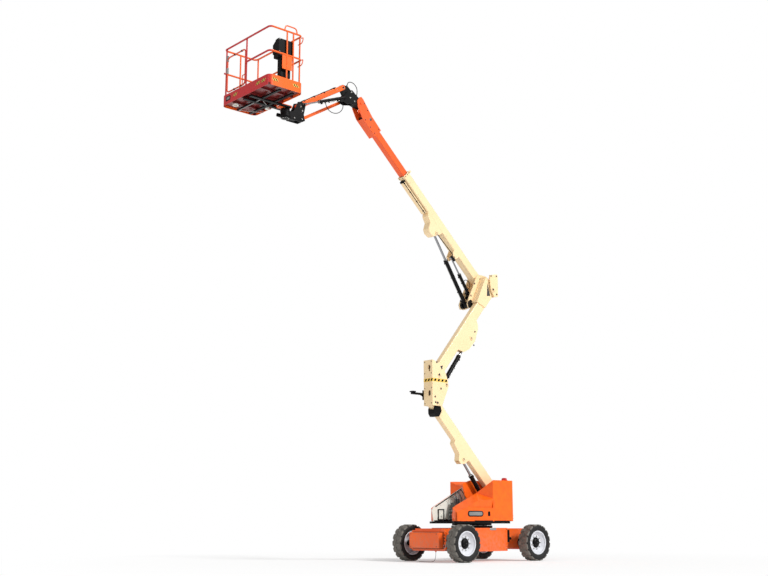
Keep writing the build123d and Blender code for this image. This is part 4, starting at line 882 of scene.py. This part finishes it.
def jib_parts():
    """The jib's black cable strip with its clips, and the screws of the knuckle, link and rotator."""
    bm = bmesh.new()
    add_block(bm, (0.17, -0.034, 0.05), (1.12, 0.034, 0.064), JIB)
    for s in (0.22, 0.5, 0.78, 1.06):
        add_block(bm, (s, -0.052, 0.03), (s + 0.03, 0.052, 0.068), JIB)
    keep(bm, "jib_cable_strip", "jib_boom", SATIN_BLACK, edge=0.003)
    bm = bmesh.new()
    for side in (-1, 1):
        for s in (0.18, 1.14):
            add_bolt(bm, (s, side * 0.05, 0.0), (0, side, 0), 0.009, JIB)
    keep(bm, "jib_screws", "jib_boom", STEEL, sharp=30)
    bm = bmesh.new()
    for side in (-1, 1):
        cheek_y = LANE_Y + side * 0.072
        for x, z in ((2.90, 8.84), (2.90, 8.91), (3.06, 8.88), (3.14, 9.05), (3.17, 8.93)):
            add_bolt(bm, (x, cheek_y, z), (0, side, 0), 0.012)
    keep(bm, "knuckle_screws", "jib_knuckle", STEEL, sharp=30)
    bm = bmesh.new()
    for side in (-1, 1):
        cheek_y = LANE_Y + side * 0.072
        for x, z in ((4.34, 8.20), (4.52, 8.18), (4.34, 8.36), (4.31, 8.50)):
            add_bolt(bm, (x, cheek_y, z), (0, side, 0), 0.011)
    for k in range(12):
        a = 2 * pi * k / 12
        add_bolt(bm, (ROTATOR_X + 0.066 * cos(a), LANE_Y + 0.066 * sin(a), 8.15), (0, 0, -1), 0.008)
    keep(bm, "support_screws", "basket_support", STEEL, sharp=30)
    bm = bmesh.new()
    add_turned(bm, facing((ROTATOR_X, LANE_Y, 8.175), (0, 0, 1)),
               ring_of((0.08, 0), (0.098, 0), (0.103, 0.006), (0.103, 0.022), (0.098, 0.028), (0.09, 0.028),
                       (0.09, 0.09), (0.098, 0.096), (0.098, 0.118), (0.08, 0.12)), 44)
    add_rod(bm, (4.60, -0.235, 8.235), (4.78, -0.235, 8.235), 0.036, sides=28)
    add_rod(bm, (4.585, -0.235, 8.235), (4.60, -0.235, 8.235), 0.026, 0.03, 6)
    add_block(bm, (4.635, -0.235, 8.205), (4.73, -0.17, 8.265))
    keep(bm, "rotator_housing", "basket_support", BLACK, edge=0.002)


# ---------------------------------------------------------------- basket
def basket_parts():
    """The floor's tread, toe board marks, underside frame, gate hardware, anchor rings and post collars."""
    bm = bmesh.new()
    mat = [(BASKET_X + x, LANE_Y + y) for x, y in rounded(0.372, 0.752, 0.08, 8)]
    add_plate(bm, Matrix.Translation((0, 0, FLOOR_TOP)), mat, 0.004)
    for row in range(11):
        for column in range(23):
            x, y = 4.905 + 0.063 * row, -0.808 + 0.063 * column
            lean = Matrix.Rotation(radians(45 if (row + column) % 2 else -45), 4, "Z")
            bar = Matrix.Translation((x, y, FLOOR_TOP + 0.0038)) @ lean
            add_block(bm, (-0.017, -0.004, 0), (0.017, 0.004, 0.0018), bar)
    keep(bm, "floor_tread", "basket", STEEL, sharp=30)
    yellow, dark = bmesh.new(), bmesh.new()
    front = facing((FRONT_X, 0, 0), (1, 0, 0))
    near = Matrix(((1, 0, 0, 0), (0, 0, 1, 0.645), (0, 1, 0, 0), (0, 0, 0, 1)))
    far = Matrix(((1, 0, 0, 0), (0, 0, -1, -0.875), (0, 1, 0, 0), (0, 0, 0, 1)))
    z, lean = 8.455, 0.04
    marks = ((front, 0.235), (front, 0.40), (near, 5.39), (near, 4.935), (far, 5.39), (far, 4.935),
             (front, -0.50))
    for place, at in marks:
        add_plate(yellow, place, leaning(at, z, 0.105, 0.055, lean), 0.0012)
        for k in range(2):
            add_plate(dark, place, leaning(at + 0.012 + 0.052 * k, z - 0.001, 0.026, 0.057, lean), 0.0018)
    keep(yellow, "toe_board_marks", "basket", YELLOW)
    add_plate(dark, front, [(-0.66 + x, 8.475 + z) for x, z in rounded(0.075, 0.045, 0.012, 4)], 0.0014)
    keep(dark, "toe_board_dark_marks", "basket", SATIN_BLACK)
    bm = bmesh.new()
    add_plate(bm, facing((FRONT_X + 0.0012, 0, 0), (1, 0, 0)),
              [(-0.66 + x, 8.475 + z) for x, z in rounded(0.05, 0.024, 0.008, 4)], 0.0012)
    keep(bm, "toe_board_plate", "basket", GREY_PLASTIC)
    bm = bmesh.new()
    for side in (-1, 1):
        a, b = sorted((LANE_Y + side * 0.066, LANE_Y + side * 0.134))
        add_block(bm, (4.64, a, 8.3375), (5.545, b, 8.3645))
        for x in (4.75, 4.95, 5.15, 5.35, 5.5):
            add_block(bm, (x, a + 0.02, 8.3364), (x + 0.05, b - 0.02, 8.3376))
    for x in (4.99, 5.27):
        add_block(bm, (x, -0.80, 8.345), (x + 0.045, 0.57, 8.3725))
    keep(bm, "underside_beams", "basket", BLACK, edge=0.003)
    bm = bmesh.new()
    apex = Vector((5.30, 0.0, 8.3435))
    for end in ((4.88, -0.33, 8.3435), (5.287, -0.75, 8.3435)):
        add_rod(bm, apex, end, 0.006, sides=12)
    add_rod(bm, (5.287, -0.75, 8.3435), (4.873, -0.56, 8.3435), 0.006, sides=12)
    for at in (apex, Vector((4.88, -0.33, 8.3435)), Vector((5.287, -0.75, 8.3435))):
        add_rod(bm, at + Vector((0, 0, -0.005)), at + Vector((0, 0, 0.03)), 0.012, sides=16)
    keep(bm, "underside_rods", "basket", STEEL, sharp=40)
    bm = bmesh.new()
    add_turned(bm, facing((4.93, -0.36, 8.3395), (0, 0, 1)),
               ((0, 0), (0.032, 0), (0.036, 0.006), (0.036, 0.03), (0, 0.03)), 28)
    add_turned(bm, facing((5.47, -0.6, 8.342), (0, 0, 1)),
               ring_of((0.04, 0), (0.055, 0), (0.058, 0.01), (0.055, 0.03), (0.04, 0.03)), 32)
    keep(bm, "underside_sensors", "basket", PALE, edge=0.001)
    bm = bmesh.new()
    for z in ((9.235, 9.345), (8.99, 9.10)):
        add_rod(bm, (GATE_X, -0.745, z[0]), (GATE_X, -0.745, z[1]), 0.021, sides=24)
        add_rod(bm, (GATE_X, -0.781, z[0] + 0.02), (GATE_X, -0.745, z[0] + 0.02), 0.012, sides=16)
        add_rod(bm, (GATE_X, -0.781, z[1] - 0.02), (GATE_X, -0.745, z[1] - 0.02), 0.012, sides=16)
    keep(bm, "gate_hinge_sleeves", "gate", GREY_PLASTIC, edge=0.002)
    bm = bmesh.new()
    for y, z in ((-0.5, 9.30), (-0.27, 9.30), (-0.5, 8.615), (-0.27, 8.615)):
        add_rod(bm, (GATE_X, y - 0.014, z), (GATE_X, y + 0.014, z), 0.019, sides=24)
    keep(bm, "gate_bumpers", "gate", RUBBER, edge=0.002)
    bm = bmesh.new()
    for a, b in (((-0.24, 8.63), (-0.24, 8.80)), ((-0.24, 8.80), (-0.165, 8.80))):
        add_rod(bm, (GATE_X, *a), (GATE_X, *b), 0.009, sides=16)
    bmesh.ops.create_uvsphere(bm, u_segments=16, v_segments=10, radius=0.009,
                              matrix=Matrix.Translation((GATE_X, -0.24, 8.80)))
    keep(bm, "gate_latch_bar", "gate", SHADED_GATE_ORANGE, sharp=60)
    bm = bmesh.new()
    for y in (0.135, -0.365):
        ring = facing((4.84, y, 8.53), (-1, 0, 0))
        add_turned(bm, ring, ring_of((0.016, 0), (0.016, 0.004), (0.022, 0.006), (0.028, 0.004), (0.029, 0)), 32)
    keep(bm, "anchor_rings", "basket", STEEL, sharp=40)
    bm = bmesh.new()
    for x in (4.863, GATE_X):
        for y in (-0.782, -0.115, 0.552):
            foot = facing((x, y, 8.42), (0, 0, 1))
            add_turned(bm, foot, ring_of((0.0155, 0), (0.03, 0), (0.028, 0.008), (0.019, 0.012), (0.0155, 0.012)),
                       24)
    keep(bm, "post_collars", "basket", BASKET_ORANGE, sharp=40)


def side_hoops():
    """Two bent handles on the basket's boom side."""
    for k, z in enumerate((9.46, 9.03)):
        pipe("side_hoop_%d" % (k + 1), "basket", BASKET_ORANGE,
             ((4.863, 0.60, z), (4.86, 0.64, z), (4.852, 0.642, z - 0.005), (4.85, 0.62, z - 0.07),
              (4.85, 0.56, z - 0.10), (4.863, 0.50, z - 0.10)), 0.009)


def console_parts():
    """The control box in the basket: its sloping panel, levers, switches, stop button, guard and connectors."""
    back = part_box("console")[1][1]
    slope = (Vector((0, back - 0.07, 9.33)), Vector((0, back - 0.19, 9.24)))
    along = (slope[1] - slope[0]).normalized()
    up = Vector((1, 0, 0)).cross(along)
    up = up if up.z > 0 else -up
    middle = (slope[0] + slope[1]) / 2 + Vector((5.19, 0, 0))
    right = Vector((1, 0, 0))
    panel = Matrix.Translation(middle) @ Matrix((right, up.cross(right), up)).transposed().to_4x4()
    bm = bmesh.new()
    add_plate(bm, panel, rounded(0.155, 0.066, 0.012, 4), 0.004)
    keep(bm, "control_panel", "basket", GREY_PLASTIC, edge=0.001)
    bm = bmesh.new()
    for x in (-0.105, 0.105):
        lever = panel @ Matrix.Translation((x, 0.005, 0.004))
        add_turned(bm, lever, ((0, 0), (0.026, 0), (0.026, 0.004), (0.021, 0.010), (0.015, 0.013), (0.011, 0.022),
                               (0.006, 0.03), (0.006, 0.05), (0.0135, 0.056), (0.016, 0.07), (0.014, 0.088),
                               (0, 0.092)), 24)
    for k in range(6):
        x = -0.05 + 0.02 * k
        for y in (-0.045, 0.04):
            add_rod(bm, (x, y, 0.004), (x, y, 0.009), 0.006, sides=6, place=panel)
            add_rod(bm, (x, y, 0.009), (x, y + 0.006, 0.024), 0.002, 0.003, 12, panel)
    keep(bm, "levers_and_switches", "basket", SATIN_BLACK, sharp=40)
    bm = bmesh.new()
    add_turned(bm, panel @ Matrix.Translation((0.0, -0.002, 0.004)),
               ((0, 0), (0.012, 0), (0.012, 0.014), (0.02, 0.018), (0.02, 0.026), (0.014, 0.031), (0, 0.032)), 32)
    keep(bm, "stop_button", "basket", RED_PLASTIC, sharp=50)
    bm = bmesh.new()
    add_turned(bm, panel @ Matrix.Translation((0.0, -0.002, 0.004)),
               ring_of((0.0125, 0), (0.024, 0), (0.024, 0.003), (0.0125, 0.003)), 32)
    keep(bm, "stop_button_collar", "basket", YELLOW)
    bm = bmesh.new()
    add_block(bm, (5.03, back - 0.175, 8.98), (5.35, back - 0.02, 9.055))
    add_block(bm, (5.08, back - 0.12, 8.62), (5.30, back - 0.02, 8.98))
    for x in (5.09, 5.17, 5.25):
        add_rod(bm, (x, back - 0.10, 9.06), (x, back - 0.10, 9.035), 0.018, sides=16)
    keep(bm, "console_base", "basket", SATIN_BLACK, edge=0.006)
    bm = bmesh.new()
    for x in (5.035, 5.345):
        for z in (9.08, 9.31):
            add_bolt(bm, (x, back, z), (0, 1, 0), 0.006)
    keep(bm, "console_screws", "basket", STEEL, sharp=30)


# ---------------------------------------------------------------- hoses and the earthing strap
# One row for each: node, body, length, width, far end, lay and route.
CORDS = (
    ("earth_strap", "chassis", 0.605, 0.008, "bare", "hanging", (
        (1.188, 0.200, 0.190), (1.188, 0.200, 0.128), (1.185, 0.182, 0.068), (1.188, 0.150, 0.022),
        (1.194, 0.092, 0.005), (1.201, 0.010, 0.0045), (1.197, -0.090, 0.0046), (1.190, -0.190, 0.0044),
        (1.193, -0.275, 0.0045))),
    ("knuckle_hose", "jib_knuckle", 0.522, 0.015, "object", "loose", (
        (3.195, -0.115, 9.206), (3.178, -0.118, 9.262), (3.120, -0.120, 9.297), (3.048, -0.119, 9.296),
        (2.985, -0.115, 9.262), (2.945, -0.112, 9.203), (2.936, -0.113, 9.130), (2.944, -0.115, 9.066),
        (2.948, -0.115, 9.014))),
    ("jib_hose", "jib_lift_barrel", 0.731, 0.014, "object", "hanging", (
        (3.4085, -0.003, 8.8063), (3.384, -0.002, 8.744), (3.384, 0.000, 8.668), (3.416, 0.001, 8.594),
        (3.476, 0.001, 8.532), (3.556, -0.001, 8.495), (3.642, -0.003, 8.486), (3.721, -0.005, 8.508),
        (3.776, -0.005, 8.556), (3.801, -0.003, 8.602), (3.8182, -0.003, 8.6458))),
    ("level_hose", "level_barrel", 0.352, 0.014, "object", "loose", (
        (-0.1084, -0.115, 5.5345), (-0.150, -0.115, 5.559), (-0.172, -0.117, 5.604), (-0.162, -0.118, 5.657),
        (-0.128, -0.118, 5.702), (-0.081, -0.117, 5.730), (-0.033, -0.115, 5.7285),
        (0.0052, -0.115, 5.6965))),
)


def free_cords():
    """Each hose and the strap, on one smooth line from its exit to its end."""
    for node, body, length, width, far_end, lay, route in CORDS:
        piece = pipe(node + "_line", body, RUBBER, route, width / 2)
        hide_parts(node)


tower_marks()
weld_beads()
main_boom_parts()
fly_boom_parts()
jib_parts()
basket_parts()
side_hoops()
console_parts()
free_cords()


# ---------------------------------------------------------------- stage, light and camera
def pale_stage():
    """A white floor that fades into a white room, and keeps the machine's soft shadow."""
    bm = bmesh.new()
    bmesh.ops.create_circle(bm, cap_ends=True, segments=96, radius=60.0)
    mesh = bpy.data.meshes.new("floor")
    bm.to_mesh(mesh)
    bm.free()
    floor = bpy.data.objects.new("floor", mesh)
    bpy.context.scene.collection.objects.link(floor)
    cover = Finish("pale_floor", 0.9)
    cover.colour(tint(250, 250, 250))
    nodes, tree = cover.nodes, cover.material.node_tree
    glow = nodes.new("ShaderNodeEmission")
    ray = nodes.new("ShaderNodeLightPath")
    seen = cover.sum("MAXIMUM", ray.outputs["Is Camera Ray"], ray.outputs["Is Glossy Ray"])
    distance = nodes.new("ShaderNodeVectorMath")
    distance.operation = "LENGTH"
    cover.link(cover.place, distance.inputs[0])
    far = cover.ramp(distance.outputs["Value"], 3.0, 9.0)
    share = cover.sum("MULTIPLY", seen, cover.ramp(far, 0.0, 1.0, 0.3, 1.0))
    blend = nodes.new("ShaderNodeMixShader")
    cover.link(share, blend.inputs[0])
    cover.link(cover.shader.outputs["BSDF"], blend.inputs[1])
    cover.link(glow.outputs["Emission"], blend.inputs[2])
    tree.links.new(blend.outputs["Shader"], nodes["Material Output"].inputs["Surface"])
    mesh.materials.append(cover.material)


def room_light():
    """An even white room, a broad lamp high on the left and a weak one in front."""
    world = bpy.data.worlds.new("room")
    bpy.context.scene.world = world
    world.use_nodes = True
    nodes, links = world.node_tree.nodes, world.node_tree.links
    ray = nodes.new("ShaderNodeLightPath")
    soft, white = nodes["Background"], nodes.new("ShaderNodeBackground")
    soft.inputs["Color"].default_value = (1, 1, 1, 1)
    soft.inputs["Strength"].default_value = 0.46
    white.inputs["Color"].default_value = (1, 1, 1, 1)
    seen = nodes.new("ShaderNodeMath")
    seen.operation = "MAXIMUM"
    links.new(ray.outputs["Is Camera Ray"], seen.inputs[0])
    links.new(ray.outputs["Is Transmission Ray"], seen.inputs[1])
    blend = nodes.new("ShaderNodeMixShader")
    links.new(seen.outputs["Value"], blend.inputs[0])
    links.new(soft.outputs["Background"], blend.inputs[1])
    links.new(white.outputs["Background"], blend.inputs[2])
    links.new(blend.outputs["Shader"], nodes["World Output"].inputs["Surface"])
    # One row for each lamp: name, the way that it shines, strength and width in degrees.
    for name, way, strength, spread in (("key", (0.35, -1.0, -0.8), 2.7, 14),
                                        ("fill", (-1.0, -0.25, -0.4), 0.45, 40)):
        lamp = bpy.data.lights.new(name, "SUN")
        lamp.energy = strength
        lamp.angle = radians(spread)
        holder = bpy.data.objects.new(name, lamp)
        holder.rotation_euler = Vector(way).to_track_quat("-Z", "Y").to_euler()
        bpy.context.scene.collection.objects.link(holder)


def front_left_camera():
    """A long view from the front left at chest height, tilted up the booms."""
    data = bpy.data.cameras.new("view")
    data.lens = 52.9
    data.sensor_width = 36.0
    data.clip_end = 400.0
    camera = bpy.data.objects.new("view", data)
    pitch = radians(11.85)
    ahead = Vector((-0.657, -0.754, 0)).normalized()
    look = ahead * cos(pitch) + Vector((0, 0, sin(pitch)))
    camera.location = (16.45, 16.21, 0.70)
    camera.rotation_euler = look.to_track_quat("-Z", "Y").to_euler()
    bpy.context.scene.collection.objects.link(camera)
    bpy.context.scene.camera = camera


pale_stage()
room_light()
front_left_camera()
bpy.context.scene.view_settings.view_transform = "Standard"
